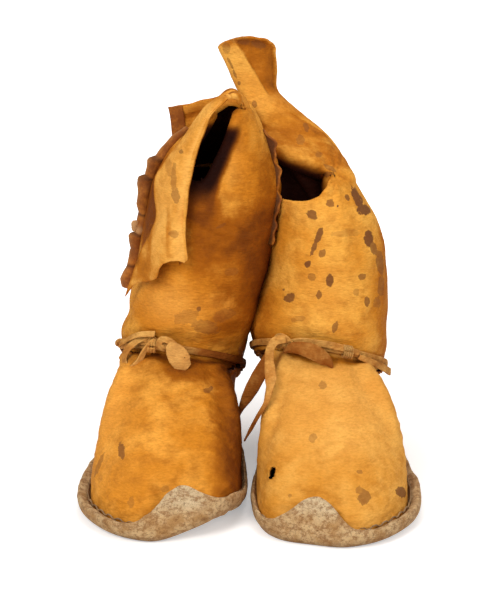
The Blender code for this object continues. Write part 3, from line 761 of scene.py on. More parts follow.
RIGHT_VAMP_MARKS = [
    (-8.37, -6.6, 4.41, 0.26, 0.55, 8, 0.75), (-9.9, -5.7, 3.0, 0.16, 0.9, -22, 0.5),
    (-7.56, -10.2, 2.2, 0.25, 0.35, 0, 0.35), (-2.77, -2.2, 7.0, 0.3, 0.2, 0, 0.6),
    (-2.55, -2.1, 7.1, 0.12, 0.12, 0, 0.8), (-5.4, -9.6, 2.9, 0.3, 0.2, 20, 0.3),
]
LEFT_VAMP_MARKS = [
    (7.28, -10.53, 2.72, 0.42, 0.5, 20, 0.62), (7.0, -10.1, 3.0, 0.25, 0.3, 0, 0.45),
    (9.9, -7.85, 1.95, 0.55, 0.32, -30, 0.85), (4.89, -2.47, 7.45, 0.3, 0.34, 0, 0.45),
    (4.12, -6.8, 5.32, 0.35, 0.25, 30, 0.4), (7.08, -9.15, 3.88, 0.22, 0.16, 0, 0.5),
    (2.6, -9.9, 2.6, 0.14, 0.14, 0, 0.4),
]
HOLE_AT = np.array((1.45, -8.08, 3.39))
HOLE_SIZE = (0.38, 0.46)
HOLE_LEAN = -24.0


def almond(p):
    """Below 1 inside the small hole in the left vamp, seen along its normal."""
    d = p - HOLE_AT
    side, up = np.array((0.85, -0.5, 0.15)), unit(np.array((-0.1, 0.45, 0.9)))
    side = unit(side - up * (side @ up))
    c, s = math.cos(math.radians(HOLE_LEAN)), math.sin(math.radians(HOLE_LEAN))
    x, y = d @ side, d @ up
    a, b = (x * c + y * s) / HOLE_SIZE[0], (-x * s + y * c) / HOLE_SIZE[1]
    return np.hypot(a * (1 + 0.35 * b * b), b) + (np.linalg.norm(d, axis=-1) > 1.2) * 9


def in_hole(grid):
    """The grid points inside the small hole, once those near its outline are moved onto it."""
    return almond(grid) < 0.93


def snapped(grid):
    """The grid with the points next to the hole's outline moved onto it."""
    f = almond(grid)[..., None]
    near = (f > 0.72) & (f < 1.28)
    return np.where(near, HOLE_AT + (grid - HOLE_AT) / f, grid)


def vamp(boot, material, spots, seed):
    """The front of the upper, from the toe to the tie."""
    gap = 0.6
    low, high = QUARTER_TO + gap, 360 + QUARTER_FROM - gap
    grid, angle, t = upper_grid(boot, low, high, 250, 150)
    left = boot.side == "left"
    normal = normals(grid, False)
    bulk = ease(0, 0.12, t) * (1 - ease(0.97, 1.0, t))
    swell = 0.14 * fractal(grid, 0.22, 2, seed) * bulk
    under_tie = bell(t, 0.93, 0.045)
    flutes = np.sin(np.radians(angle) * 19 + 2.5 * noise(grid, 0.6, seed + 1))
    gathers = (0.16 * under_tie + 0.055 * flutes * bell(t, 0.955, 0.05)
               * (0.45 + noise(grid, 0.5, seed + 2)))
    creases = -0.10 * np.abs(noise(grid, (0.5, 0.9, 1.6), seed + 4)) ** 0.7 * bulk
    pleats = np.sin(np.radians(angle) * 13 + 3.0 * noise(grid, (0.35, 0.25, 0.25), seed + 9))
    creases = creases + 0.045 * pleats * bell(t, 0.82, 0.16)
    fine = 0.018 * fractal(grid, (1.2, 2.6, 2.6), 3, seed + 6) * bulk
    lift = swell + gathers + creases + fine + waist(boot, angle, t)
    if left:
        lift = lift - 0.12 * bell(grid[..., 0], 8.9, 0.9) * bell(t, 0.9, 0.12)
    else:
        inner = ease(-4.4, -2.2, grid[..., 0]) * ease(0.3, 0.5, t) * (1 - ease(0.85, 0.95, t))
        ripples = np.sin(grid[..., 1] * 5.2 + 2.0 * noise(grid, 0.7, seed + 8))
        lift = lift + 0.03 * inner * ripples
    grid = grid + normal * lift[..., None]
    found = marks(grid, spots)
    # Painted shade at the sole and under the tie; on the left vamp at both ends by the quarter, on
    # the right down the side facing the other boot and under the knot. The left vamp's front is
    # paler; the right vamp's side towards the key lamp has a painted highlight.
    edge = 1 - ease(0.0, 0.05, t)
    shade = 0.5 * edge + 0.85 * bell(t, 0.985, 0.03)
    if left:
        shade = shade + 0.30 * bell(angle, high, 14) + 0.35 * bell(angle, low, 9)
        pale = 0.55 * ease(0.3, 0.7, t) * bell(apart(angle, 280), 0, 45)
        grid = snapped(grid)
    else:
        inward = ease(-3.4, -0.9, grid[..., 0])
        shade = (shade + 0.95 * inward + 0.25 * bell(t, 0.9, 0.09)
                 + 0.75 * bell(t, 0.93, 0.06) * bell(apart(angle, 274), 0, 13))
        pale = 1.3 * bell(apart(angle, 215), 0, 30) * bell(t, 0.5, 0.4)
    shape = shell(grid, HIDE, hole=in_hole if left else None, burn=np.clip(shade, 0, 1),
                  pale=pale, **found)
    name = f"{boot.side}_vamp"
    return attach(piece(f"{name}_hide", shape, material, [name]),
                   f"{boot.side}_foot")


def quarter(boot, material, seed):
    """The upper round the heel, with its seam."""
    grid, angle, t = upper_grid(boot, QUARTER_FROM, QUARTER_TO, 210, 80)
    normal = normals(grid, False)
    bulk = ease(0, 0.12, t) * (1 - ease(0.97, 1.0, t))
    flutes = np.sin(np.radians(angle) * 17 + 2.5 * noise(grid, 0.6, seed))
    seam = bell(apart(angle, 90), 0, 1.6)
    lift = (0.12 * fractal(grid, 0.25, 2, seed) * bulk + 0.14 * bell(t, 0.93, 0.05)
            + 0.05 * flutes * bell(t, 0.93, 0.08)
            + 0.05 * flutes * bell(t, 0.1, 0.09) + 0.09 * seam * bulk
            - 0.05 * np.abs(noise(grid, (0.6, 0.9, 1.5), seed + 3)) * bulk
            + waist(boot, angle, t))
    grid = grid + normal * lift[..., None]
    # Painted shade at the sole, under the tie and where the quarter meets the vamp; darker along
    # its seam.
    shade = 0.6 * bell(t, 0.985, 0.04) + 0.5 * (1 - ease(0, 0.08, t)) + 0.25 * seam
    for end in (QUARTER_FROM, QUARTER_TO):
        shade = shade + 0.4 * bell(angle, end, 5)
    shape = shell(grid, HIDE, inside_shade=0.0, burn=np.clip(shade, 0, 1), **marks(grid, []))
    name = f"{boot.side}_quarter"
    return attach(piece(f"{name}_hide", shape, material, [name]),
                   f"{boot.side}_foot")


# ---- pieces: legs ----------------------------------------------------------------------------

def curled(grid, radius, turn, steps):
    """A closed grid with its upper edge rolled inwards through this many degrees."""
    edge = grid[:, -1]
    along = unit(np.roll(edge, -1, 0) - np.roll(edge, 1, 0))
    out = normals(grid, True)[:, -1]
    ahead = edge - grid[:, -3]
    ahead = ahead - along * (ahead * along).sum(-1, keepdims=True)
    ahead = unit(ahead - out * (ahead * out).sum(-1, keepdims=True))
    rows = [edge + radius * (math.sin(phi) * ahead - (1 - math.cos(phi)) * out)
            for phi in np.radians(np.linspace(0, turn, steps + 1)[1:])]
    return np.concatenate([grid, np.stack(rows, 1)], axis=1)


def gathers_above(grid, angle, rise, seed):
    """The leg's swelling and flutes just over its tie."""
    flutes = np.sin(np.radians(angle) * 23 + 3.0 * noise(grid, 0.5, seed))
    return (0.26 * bell(rise, 1.75, 1.0) + 0.07 * flutes * bell(rise, 1.1, 0.8)
            * (0.5 + 0.8 * noise(grid, 0.45, seed + 1)))


def lean_in(grid, height, side):
    """Where the two legs press together: this side's hide swells towards the other boot."""
    x, y = grid[..., 0], grid[..., 1]
    facing = ease(-2.5, 0.0, x) if side == "right" else ease(4.6, 2.4, x)
    amount = 0.27 + 0.16 * ease(14.5, 18.0, height)
    return facing * bell(y, 5.6, 2.0) * amount * ease(8.2, 9.6, height) * ease(23.0, 20.5, height)


def right_top(angle):
    """The leg's upper edge: level behind, cut down to a deep slit at the front."""
    heights = [(-22, 25.05), (0, 25.0), (25, 25.0), (60, 25.05), (100, 25.05), (130, 24.8),
               (160, 24.65), (185, 24.85), (203, 25.1), (213, 24.4), (219, 23.3), (225, 22.1),
               (234, 20.9), (247, 20.5), (260, 20.5), (265, 20.9), (270, 21.9), (275, 23.2),
               (280, 24.2), (289, 24.8), (303, 25.25), (321, 25.35), (338, 25.2), (360, 25.0)]
    return between(heights, angle)[0]


RIGHT_LEG_MARKS = [
    (-3.41, 1.2, 11.6, 0.14, 0.16, 0, 0.75), (-4.3, 1.2, 11.0, 0.9, 0.45, 10, 0.32),
    (-3.0, 1.9, 10.1, 1.1, 0.5, -12, 0.42), (-1.8, 2.0, 10.9, 0.8, 0.45, 20, 0.30),
    (-1.9, 1.2, 17.4, 0.5, 0.12, 25, 0.35), (-1.2, 1.6, 14.1, 0.5, 0.3, 10, 0.25),
]


def right_leg(material):
    """The right leg, wrapped, with the deep slit under the peak."""
    boot, n, m = RIGHT, 320, 160
    fine = np.linspace(0, 360, 2000)
    spread = np.cumsum(1 + 2.4 * bell(fine, 260, 24))
    angle = np.interp(np.arange(n) * spread[-1] / n, spread, fine)[:, None]
    roll = 0.36 + 0.08 * bell(apart(angle, 300), 0, 25) + 0.2 * ease(25.0, 26.2, right_top(angle))
    low = boot.ring(angle)[..., 2] + 0.14
    top = right_top(angle) - roll
    height = low + (top - low) * np.linspace(0, 1, m)[None]
    grid = leg_point(boot, angle, height)
    normal = normals(grid, True)
    rise = height - low
    body = ease(0.8, 3.0, rise) * ease(0.3, 2.5, top - height)
    lift = (gathers_above(grid, angle, rise, 51) + lean_in(grid, height, "right")
            + 0.17 * fractal(grid, (0.22, 0.22, 0.16), 2, 55) * body
            + 0.05 * noise(grid, (0.6, 0.6, 1.1), 58) * body
            + 0.016 * fractal(grid, (1.3, 1.3, 3.2), 3, 60) * body)
    fold = grid[..., 0] * 0.35 + height
    near = bell(grid[..., 0], -1.5, 1.7) * (grid[..., 1] < 4)
    lift = lift + 0.05 * near * bell(fold, 16.2, 1.3) * np.sin(fold * 7.0)
    grid = grid + normal * lift[..., None]
    grid = curled(grid, roll[:, 0][:, None], 190, 10)
    steps = grid.shape[1] - m
    found = marks(grid, RIGHT_LEG_MARKS)
    x, y, z = grid[..., 0], grid[..., 1], grid[..., 2]
    over = z - boot.ring(angle)[..., 2]
    front = ease(5.5, 4.0, y)
    past_edge = x + 1.0 + 0.42 * (24 - z)  # how far the hide is from the slit's slanting edge
    # Mostly painted shade: over the tie, down the side facing the other boot, beside and below the
    # flap, along the slit's edge and at the back; darker patches over the tie and on the front.
    shade = (0.6 * bell(over, 0.35, 0.5) + 0.8 * ease(-1.2, 1.0, x) * ease(19.5, 16, z)
             + 0.95 * bell(z, 19.3, 1.9) * ease(-1.7, -2.9, x) * front
             + 0.75 * bell(z, 16.2, 2.3) * ease(-4.8, -3.2, x) * front
             + (0.95 * ease(0.95, 0.1, past_edge) * ease(24.6, 23.2, z) * ease(-5, -4, x)
                * ease(17.4, 19.6, z) * front)
             + 0.3 * ease(0.0, 1.0, x) * ease(24, 21, z)
             + 0.5 * bell(z, 10.2, 0.9) * bell(x, -1.6, 1.3) * front
             + ease(-5.0, -5.9, x) * bell(z, 17.8, 3.4) * ease(7.0, 4.2, y)
             + 0.35 * bell(z, 12.6, 1.6) * ease(-4.0, -1.5, x) * front
             + 0.45 * ease(5, 7.5, y))
    pale = (0.35 * bell(x, -1.3, 0.9) * bell(z, 22.0, 2.0) * front
            + 0.9 * bell(x, -5.4, 1.8) * bell(z, 11.9, 1.4) * front
            + 0.4 * bell(x, -1.7, 1.0) * bell(z, 11.9, 0.9) * front)
    curl = np.zeros(grid.shape[:2])
    curl[:, m:] = np.linspace(0, 1, steps)
    # Painted shade in the slit: the hide by its edge goes almost black, and the rolled edge is
    # darkened where it turns inwards below the top.
    hollow = (ease(0.9, 0.0, past_edge) * ease(24.6, 23.6, z) * ease(-4.9, -4.2, x)
              * ease(18.2, 20.6, z) * front)
    shape = shell(grid, HIDE, True, inside=hollow,
                  burn=np.clip(shade + 0.9 * ease(0.4, 0.9, curl) * ease(24, 22.5, z), 0, 1),
                  pale=np.clip(pale, 0, 1), **found)
    obj = piece("right_leg_hide", shape, material, ["right_leg"])
    return across_ankle(obj)


def across_ankle(obj):
    """Bakes the leg object's placement into its mesh."""
    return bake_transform(obj)


def left_lip(angle):
    """The height of the left leg's crumpled lip."""
    heights = [(0, 19.0), (45, 19.2), (90, 19.2), (135, 18.9), (180, 18.2), (225, 18.5),
               (250, 18.75), (268, 19.1), (280, 19.55), (289, 20.0), (298, 20.1), (312, 19.6),
               (332, 19.1), (360, 19.0)]
    return between(heights, angle % 360)[0]


LEFT_LEG_MARKS = [
    (4.66, 1.5, 16.7, 0.22, 0.6, -22, 0.9), (4.3, 1.4, 15.8, 0.16, 0.55, -22, 0.85),
    (3.9, 1.4, 14.7, 0.22, 0.28, -25, 0.95), (4.85, 1.2, 15.5, 0.26, 0.3, -30, 0.7),
    (5.39, 2.1, 18.7, 0.3, 0.3, 25, 0.75), (4.19, 2.0, 17.95, 0.38, 0.3, -35, 0.85),
    (5.9, 2.2, 18.5, 0.08, 0.08, 0, 1.0), (7.3, 3.4, 18.9, 0.38, 0.85, 20, 0.95),
    (7.85, 3.4, 18.0, 0.62, 0.42, 10, 0.95), (8.06, 2.4, 16.2, 0.34, 0.6, 8, 0.95),
    (8.4, 2.6, 15.5, 0.26, 0.5, 20, 0.7), (4.2, 1.1, 13.9, 0.3, 0.26, -30, 0.5),
    (5.4, 0.95, 13.7, 0.27, 0.42, 0, 0.9), (4.68, 0.95, 12.7, 0.2, 0.34, 0, 0.75),
    (2.7, 1.8, 12.2, 0.42, 0.3, 20, 0.85), (2.3, 1.8, 12.8, 0.1, 0.1, 0, 0.8),
    (7.58, 1.5, 13.8, 0.26, 0.26, 0, 0.7), (7.95, 1.7, 12.0, 0.2, 0.34, 0, 0.75),
    (7.2, 1.5, 12.7, 0.22, 0.26, 0, 0.35), (8.9, 3.0, 14.4, 0.32, 0.9, 5, 0.6),
    (9.0, 3.0, 12.7, 0.28, 0.8, -5, 0.5), (5.78, 1.0, 10.4, 0.2, 0.4, -20, 0.7),
    (8.7, 2.5, 11.7, 0.3, 0.4, 0, 0.4), (6.6, 1.3, 16.9, 1.2, 0.25, 5, 0.25),
    (3.3, 1.2, 10.9, 0.5, 0.2, 10, 0.3), (6.6, 2.1, 19.2, 0.2, 0.25, 30, 0.8),
]
SEAM_HEIGHT = 17.1
KNOT_AT = np.array((5.85, 3.1, 20.1))


def left_lift(grid, angle, height, low):
    """How far the left leg's hide stands off its plain shape."""
    rise = height - low
    body = ease(0.8, 3.0, rise)
    x, y = grid[..., 0], grid[..., 1]
    front = y < 5.5
    below = 18.5 - height
    crease = x * 0.12 + height
    return (gathers_above(grid, angle, rise, 71) + lean_in(grid, height, "left")
            + 0.16 * fractal(grid, (0.22, 0.22, 0.16), 2, 75) * body
            + 0.05 * noise(grid, (0.7, 0.7, 0.8), 78) * body
            + 0.014 * fractal(grid, (1.3, 1.3, 3.2), 3, 80) * body
            + front * (0.10 * bell(x, 4.9 + 0.05 * (height - 12), 0.55) * bell(height, 13.6, 2.6)
                       - 0.09 * bell(x, 6.3 - 0.1 * (height - 12), 0.8) * bell(height, 12.2, 2.2)
                       + 0.12 * bell(x - 0.55 * (height - 10), 6.9, 0.45) * bell(height, 11.4, 1.3)
                       - 0.07 * bell(crease, 17.75, 0.16) * bell(x, 6.4, 1.9)
                       + 0.05 * bell(crease, 18.15, 0.3) * bell(x, 6.4, 1.9)
                       + 0.16 * bell(x, 6.1 + 0.06 * below, 0.4) * bell(height, 16.8, 2.6)
                       - 0.10 * bell(x, 7.1 + 0.05 * below, 0.5) * bell(height, 16.4, 2.4)))


def left_leg(material):
    """The left leg, from its tie up to the lip under the deep fold."""
    boot, n, m = LEFT, 290, 110
    angle = (np.arange(n) * 360 / n)[:, None]
    low = boot.ring(angle)[..., 2] + 0.14
    height = low + (SEAM_HEIGHT + 0.12 - low) * np.linspace(0, 1, m)[None]
    grid = leg_point(boot, angle, height)
    grid = grid + normals(grid, True) * left_lift(grid, angle, height, low)[..., None]
    shape = shell(grid, HIDE, True, burn=left_shade(grid, angle), pale=left_pale(grid),
                  **marks(grid, LEFT_LEG_MARKS))
    obj = piece("left_leg_hide", shape, material, ["left_leg"])
    return across_ankle(obj)


def left_shade(grid, angle):
    """How dark the left leg's hide is: painted shade over the tie, on its outer side and on the
    side facing the other boot, and a darker patch low on its front.
    """
    x, y, z = grid[..., 0], grid[..., 1], grid[..., 2]
    over = z - LEFT.ring(angle)[..., 2]
    return np.clip(0.7 * bell(over, 0.35, 0.45) + 0.45 * ease(8.0, 9.4, x) * ease(9, 4, y)
                   + 0.4 * ease(2.2, 1.0, x) * (z < 19)
                   + 0.28 * bell(x, 6.6, 1.0) * bell(z, 10.6, 0.9), 0, 1)


def left_pale(grid):
    """How much lighter the left leg's hide is, in two patches on its front."""
    x, y, z = grid[..., 0], grid[..., 1], grid[..., 2]
    return np.clip((0.5 * bell(x, 5.2, 1.6) * bell(z, 13.0, 2.6)
                    + 0.35 * bell(x, 4.5, 2.0) * bell(z, 17.9, 0.8)) * (y < 5), 0, 1)


NECK_MARKS = [
    (-1.35, 9.3, 26.9, 0.09, 0.5, 28, 0.6), (-1.0, 9.1, 26.1, 0.09, 0.3, 25, 0.6),
    (-0.7, 9.0, 25.5, 0.1, 0.16, 20, 0.7), (-0.7, 9.2, 28.5, 0.9, 0.25, -10, 0.35),
    (0.6, 9.3, 28.2, 0.5, 0.3, -20, 0.45), (-1.6, 9.3, 27.9, 0.3, 0.4, 0, 0.4),
    (0.35, 8.9, 24.0, 0.18, 0.3, 0, 0.6), (3.9, 8.0, 22.6, 0.2, 0.35, 15, 0.55),
    (3.5, 6.6, 22.05, 0.3, 0.4, -10, 0.4), (4.75, 5.8, 21.2, 0.3, 0.22, 0, 0.4),
    (5.5, 4.6, 20.6, 0.5, 0.2, -30, 0.55), (5.3, 4.4, 20.2, 0.35, 0.2, 0, 0.6),
]


def neck_ring(k, angle):
    """One of the neck's rings, the last with the ragged edge of the mouth."""
    left, right, front, back = NECK_RINGS[k]
    left, right = np.array(left), np.array(right)
    c, s = round_section(angle, 1.0, 1.0)
    p = (left + right) / 2 + (right - left) / 2 * c[..., None]
    p[..., 1] += np.where(s > 0, back, front) * s
    p[..., 2] -= NECK_BACK_DROP * np.maximum(0.0, s) * (1 - ease(0, 2, k))
    if k == len(NECK_RINGS) - 1:
        ragged = 0.12 * fractal(p, 0.9, 3, 91)
        p[..., 2] += (NECK_CROWN - 0.15) * np.sqrt(np.maximum(0, 1 - c * c)) + ragged
        p[..., 2] -= 0.6 * np.maximum(0, s)
    return p


def left_top(material):
    """The upper leg in one skin: lip, deep pocket, ridge, pinched neck and flared mouth."""
    n = 290
    angle = np.arange(n) * 360 / n
    lip = left_lip(angle)
    pocket = (ease(176, 208, angle) * (1 - ease(281, 297, angle)))[:, None]
    hub = np.array((5.0, 6.6, 0.0))
    low = LEFT.ring(angle)[..., 2] + 0.14

    def at(height):
        p = leg_point(LEFT, angle, height)
        return p + inward(p) * -left_lift(p, angle, height, low)[:, None]

    def inward(p):
        return unit((hub - p) * (1, 1, 0))

    seam = np.full(n, SEAM_HEIGHT)
    rings = [at(seam), at(seam * 0.62 + (lip - 0.6) * 0.38), at(lip - 0.6)]
    crest = at(lip)
    first = neck_ring(0, angle)
    ridge = first + unit(first - hub * (1, 1, 0) - (0, 0, 20.5)) * 0.25 * pocket
    span = np.linalg.norm(ridge - crest, axis=-1, keepdims=True)
    # The pocket, from the lip in and down, then back up under the ridge: how far in and up from
    # that edge, and how far from the lip to the ridge where the hide has no pocket
    for edge, deep, up, share in (
            (crest, 0.10, 0.10, 0.10), (crest, 0.50, 0.02, 0.20), (crest, 1.00, -0.75, 0.32),
            (crest, 1.75, -1.90, 0.44), (crest, 2.70, -2.70, 0.56), (crest, 3.50, -2.20, 0.66),
            (ridge, 1.30, -1.75, 0.76), (ridge, 0.50, -1.35, 0.85), (ridge, 0.05, -0.75, 0.92)):
        plain = crest + (ridge - crest) * share
        plain = plain - inward(plain) * (0.08 * span * math.sin(math.pi * share))
        tucked = edge + inward(edge) * deep + (0, 0, up)
        rings.append(plain + (tucked - plain) * pocket)
    rings.append(ridge)
    rings += [neck_ring(k, angle) for k in range(1, len(NECK_RINGS))]
    grid, row = loft(rings, 230)
    run = np.linspace(0, 1, grid.shape[1])[None]
    x, y, z = grid[..., 0], grid[..., 1], grid[..., 2]
    upper = ease(11.2, 13.0, row)[None]
    lean = z * 0.9 + x * 0.42
    wrinkles = np.sin(lean * 5.2 + 2.2 * noise(grid, 0.8, 95))
    middle = bell(lean, 22.9, 1.5)
    crumple = np.hypot(x - KNOT_AT[0], z - KNOT_AT[2])
    fan = np.sin(7 * np.arctan2(z - KNOT_AT[2], x - KNOT_AT[0]) + 2 * noise(grid, 0.7, 96))
    front = y < 8.5
    line = x - (0.35 + 0.62 * (26.25 - z))
    panel = ease(-0.12, 0.22, line) * ease(24.3, 25.3, z) * (y < 10.2)
    neck = upper * (1 - ease(0.985, 1.0, run))
    fine = np.sin(lean * 17 + 3.0 * noise(grid, 0.7, 94)) * (0.5 + noise(grid, 0.8, 93))
    lift = (0.085 * wrinkles * middle * front * upper + 0.022 * fine * middle * front * upper
            + 0.04 * fan * bell(crumple, 0.7, 0.6) * front
            - 0.10 * bell(crumple, 0.0, 0.4) * front
            + 0.12 * fractal(grid, 0.35, 2, 97) * ease(0.1, 0.3, run)
            + 0.02 * fractal(grid, (1.2, 1.2, 2.6), 3, 99)
            - 0.30 * panel * neck + 0.10 * bell(line, -0.25, 0.3) * ease(24.3, 25.3, z) * front)
    grid = grid + normals(grid, True) * (lift * ease(0, 0.06, run))[..., None]
    spots = marks(grid, LEFT_LEG_MARKS + NECK_MARKS)
    # Painted shade in the pocket under the ridge, darkened almost to black.
    pit = ((ease(170, 186, angle) * (1 - ease(281, 297, angle)))[:, None]
           * ease(3.2, 4.6, row) * ease(12.3, 10.3, row) * ease(6.0, 4.7, x))
    # Painted shade: the leg below as on the left leg, round the knot's crumples, in the pocket, on
    # the neck's sunken right panel and in its wrinkles; darker low on the neck and at the mouth.
    shade = (left_shade(grid, angle[:, None]) * (1 - upper) + 0.25 * bell(crumple, 0.3, 0.8) * front
             + 0.9 * pit + 0.55 * panel * neck + 0.45 * ease(27.6, 28.4, z)
             + 0.35 * middle * upper * bell(x, 2.6, 1.6)
             + 0.38 * ease(23.8, 22.4, z) * upper * front
             + 0.3 * ease(0.1, 0.6, fine) * middle * front * upper)
    # Paler on the leg below and the upper neck, with a painted highlight along the ridge beside the
    # sunken panel.
    shape = shell(grid, HIDE, True, burn=np.clip(shade, 0, 1), inside=pit,
                  pale=np.clip(left_pale(grid) * (1 - upper) + 0.45 * ease(23.0, 24.2, z) * upper
                               + 0.4 * bell(line, -0.12, 0.14)
                               * ease(24.3, 25.3, z) * front, 0, 1), **spots)
    obj = piece("left_top_hide", shape, material, ["left_leg_top"])
    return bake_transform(obj)


# ---- pieces: the right boot's flap, strips and cuff ------------------------------------------

FLAP_MARKS = [
    (-5.0, 0.9, 20.7, 0.2, 1.1, 0, 0.42), (-4.9, 0.7, 19.6, 0.28, 0.5, 10, 0.55),
    (-5.0, 0.5, 17.0, 0.36, 0.3, 0, 0.4), (-4.5, 0.8, 22.6, 0.16, 0.16, 0, 0.6),
    (-5.4, 0.8, 21.8, 0.3, 0.8, 10, 0.2),
]


def flap(material):
    """The leg's front edge folded outwards: the arch over the slit, then the hanging flap."""
    count, across = 200, 60
    fold = smooth_path([(-0.20, 3.0, 24.6), (-0.35, 2.3, 25.2), (-0.60, 1.65, 25.8),
                        (-1.08, 1.05, 26.25), (-1.6, 0.95, 26.15), (-2.1, 0.85, 25.65),
                        (-2.8, 0.75, 24.85), (-3.2, 0.65, 23.95), (-3.6, 0.5, 23.0),
                        (-3.9, 0.45, 22.0), (-4.1, 0.4, 20.9), (-4.3, 0.3, 19.6),
                        (-4.4, 0.3, 18.4), (-4.42, 0.25, 17.3), (-4.38, 0.25, 16.2),
                        (-4.3, 0.2, 15.15)], count)
    free = smooth_path([(0.10, 3.4, 24.5), (0.0, 3.1, 25.2), (-0.35, 2.7, 25.95),
                        (-1.0, 2.0, 26.5), (-1.6, 2.0, 26.35), (-2.1, 2.0, 26.05),
                        (-2.95, 2.1, 25.4), (-3.65, 2.2, 24.45), (-4.35, 2.3, 23.4),
                        (-5.1, 2.4, 22.4), (-5.85, 2.4, 21.35), (-6.4, 2.4, 20.3),
                        (-6.4, 2.2, 19.1), (-6.3, 2.1, 18.3), (-6.35, 2.1, 17.6),
                        (-6.6, 2.15, 17.0), (-7.0, 2.2, 16.15), (-7.4, 2.3, 15.3),
                        (-7.7, 2.4, 14.5), (-8.0, 2.5, 13.6), (-8.3, 2.7, 12.7),
                        (-8.55, 2.9, 11.9)], count)
    t = np.linspace(0, 1, across)[None]
    grid = free[:, None] + (fold - free)[:, None] * t[..., None]
    wide = np.linalg.norm(fold - free, axis=1)[:, None]
    down = np.linspace(0, 1, count)[:, None]
    grid[..., 1] -= np.sin(math.pi * t) * np.minimum(0.62, 0.3 * wide)
    grid[..., 1] += 0.2 * np.sin(2 * math.pi * t + 0.5) * ease(0.5, 1.0, down)
    grid[..., 1] += 0.16 * noise(grid, (0.5, 0.1, 0.28), 21) * ease(0.2, 0.4, down)
    cut = [(0, 0), (0.05, 0.2), (0.12, 0.5), (0.22, 0.55), (0.39, 0.34), (0.50, 0.27),
           (0.53, 0.35), (0.565, 0.85), (0.64, 1.05), (0.77, 0.9), (0.9, 0.5), (1, 0)]
    grid[..., 2] += ease(0.8, 1.0, down) * np.interp(t, *zip(*cut))
    grid[..., 1] -= 0.3 * ease(0.8, 1.0, down) * bell(t, 0.8, 0.25)
    high = ease(17.2, 19.0, fold[:, 2])[:, None]
    ahead = unit(fold - free)
    out = np.array((0.0, -1.0, 0.1))
    out = unit(out - ahead * (ahead @ out)[:, None])
    begun = ease(0.10, 0.22, down)
    rows, radius = [], (0.17 + 0.10 * high) * (0.35 + 0.65 * begun)
    for phi in np.radians(np.linspace(0, 170, 10)[1:]):
        rows.append(fold + radius * (math.sin(phi) * ahead - (1 - math.cos(phi)) * out))
    back = rows[-1]
    for k in range(1, 16):
        reach = (0.05 + 0.06 * high) * k * begun
        rows.append(back - ahead * reach * 0.35 + np.array((0, 1.0, 0)) * reach * high
                    - ahead * 0.03 * k * (1 - high) * begun)
    grid = np.concatenate([grid, np.stack(rows, 1)], axis=1)
    side = unit(np.cross(np.gradient(grid, axis=0), np.gradient(grid, axis=1)))
    grid = grid + side * (0.02 * fractal(grid, (1.2, 1.2, 1.6), 3, 23))[..., None]
    found = marks(grid, FLAP_MARKS)
    returned = np.zeros(grid.shape[:2])
    returned[:, across + 4:] = 1.0
    # Darker streaks down the flap, and painted shade on its lower outer part.
    streaks_and_shade = np.maximum(0, noise(grid, (2.4, 0.5, 0.5), 27)) * 0.5 * (1 - returned)
    streaks_and_shade += 0.3 * ease(21.5, 15, grid[..., 2]) * ease(-5.6, -7.0, grid[..., 0]) * (1 - returned)
    # Painted highlights along the rolled fold and on the flap's lower middle.
    pale = 0.6 * bell(t, 0.95, 0.13) + 0.5 * bell(t, 0.35, 0.25) * bell(down, 0.75, 0.25)
    behind = np.zeros((count, grid.shape[1] - across))
    pale = np.concatenate([pale, behind], axis=1)
    edge = np.concatenate([bell(t, 0.0, 0.06) + 0 * down, behind], axis=1)
    # Painted shade on the hide turned back under the fold; darker along the free edge.
    burn = np.clip(0.75 * returned * begun + 0.35 * edge + streaks_and_shade, 0, 1)
    shape = shell(grid, 0.17, inside_shade=0.5, burn=burn, pale=pale, **found)
    obj = piece("right_flap_hide", shape, material, ["right_front_flap"])
    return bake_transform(obj)


def fin(boot, angles, heights, reach, ripple, thickness, seed, **fields):
    """A ruffled strip that stands off the leg along a route."""
    root = leg_point(boot, angles, heights)
    left, right, front, back = between(boot.sections, heights)
    hub = np.stack([(left + right) / 2, (front + back) / 2, heights], -1)
    out = unit(root - hub)
    t = np.linspace(0, 1, 14)[None]
    grid = root[:, None] + out[:, None] * (0.02 + reach[:, None] * t)[..., None]
    sideways = unit(np.cross(out, (0, 0, 1)))
    grid = grid + sideways[:, None] * (ripple[:, None] * t ** 1.5)[..., None]
    grid = grid + 0.05 * np.stack([noise(grid, 1.6, seed + c) for c in range(3)], -1)
    return shell(grid, thickness, **fields)


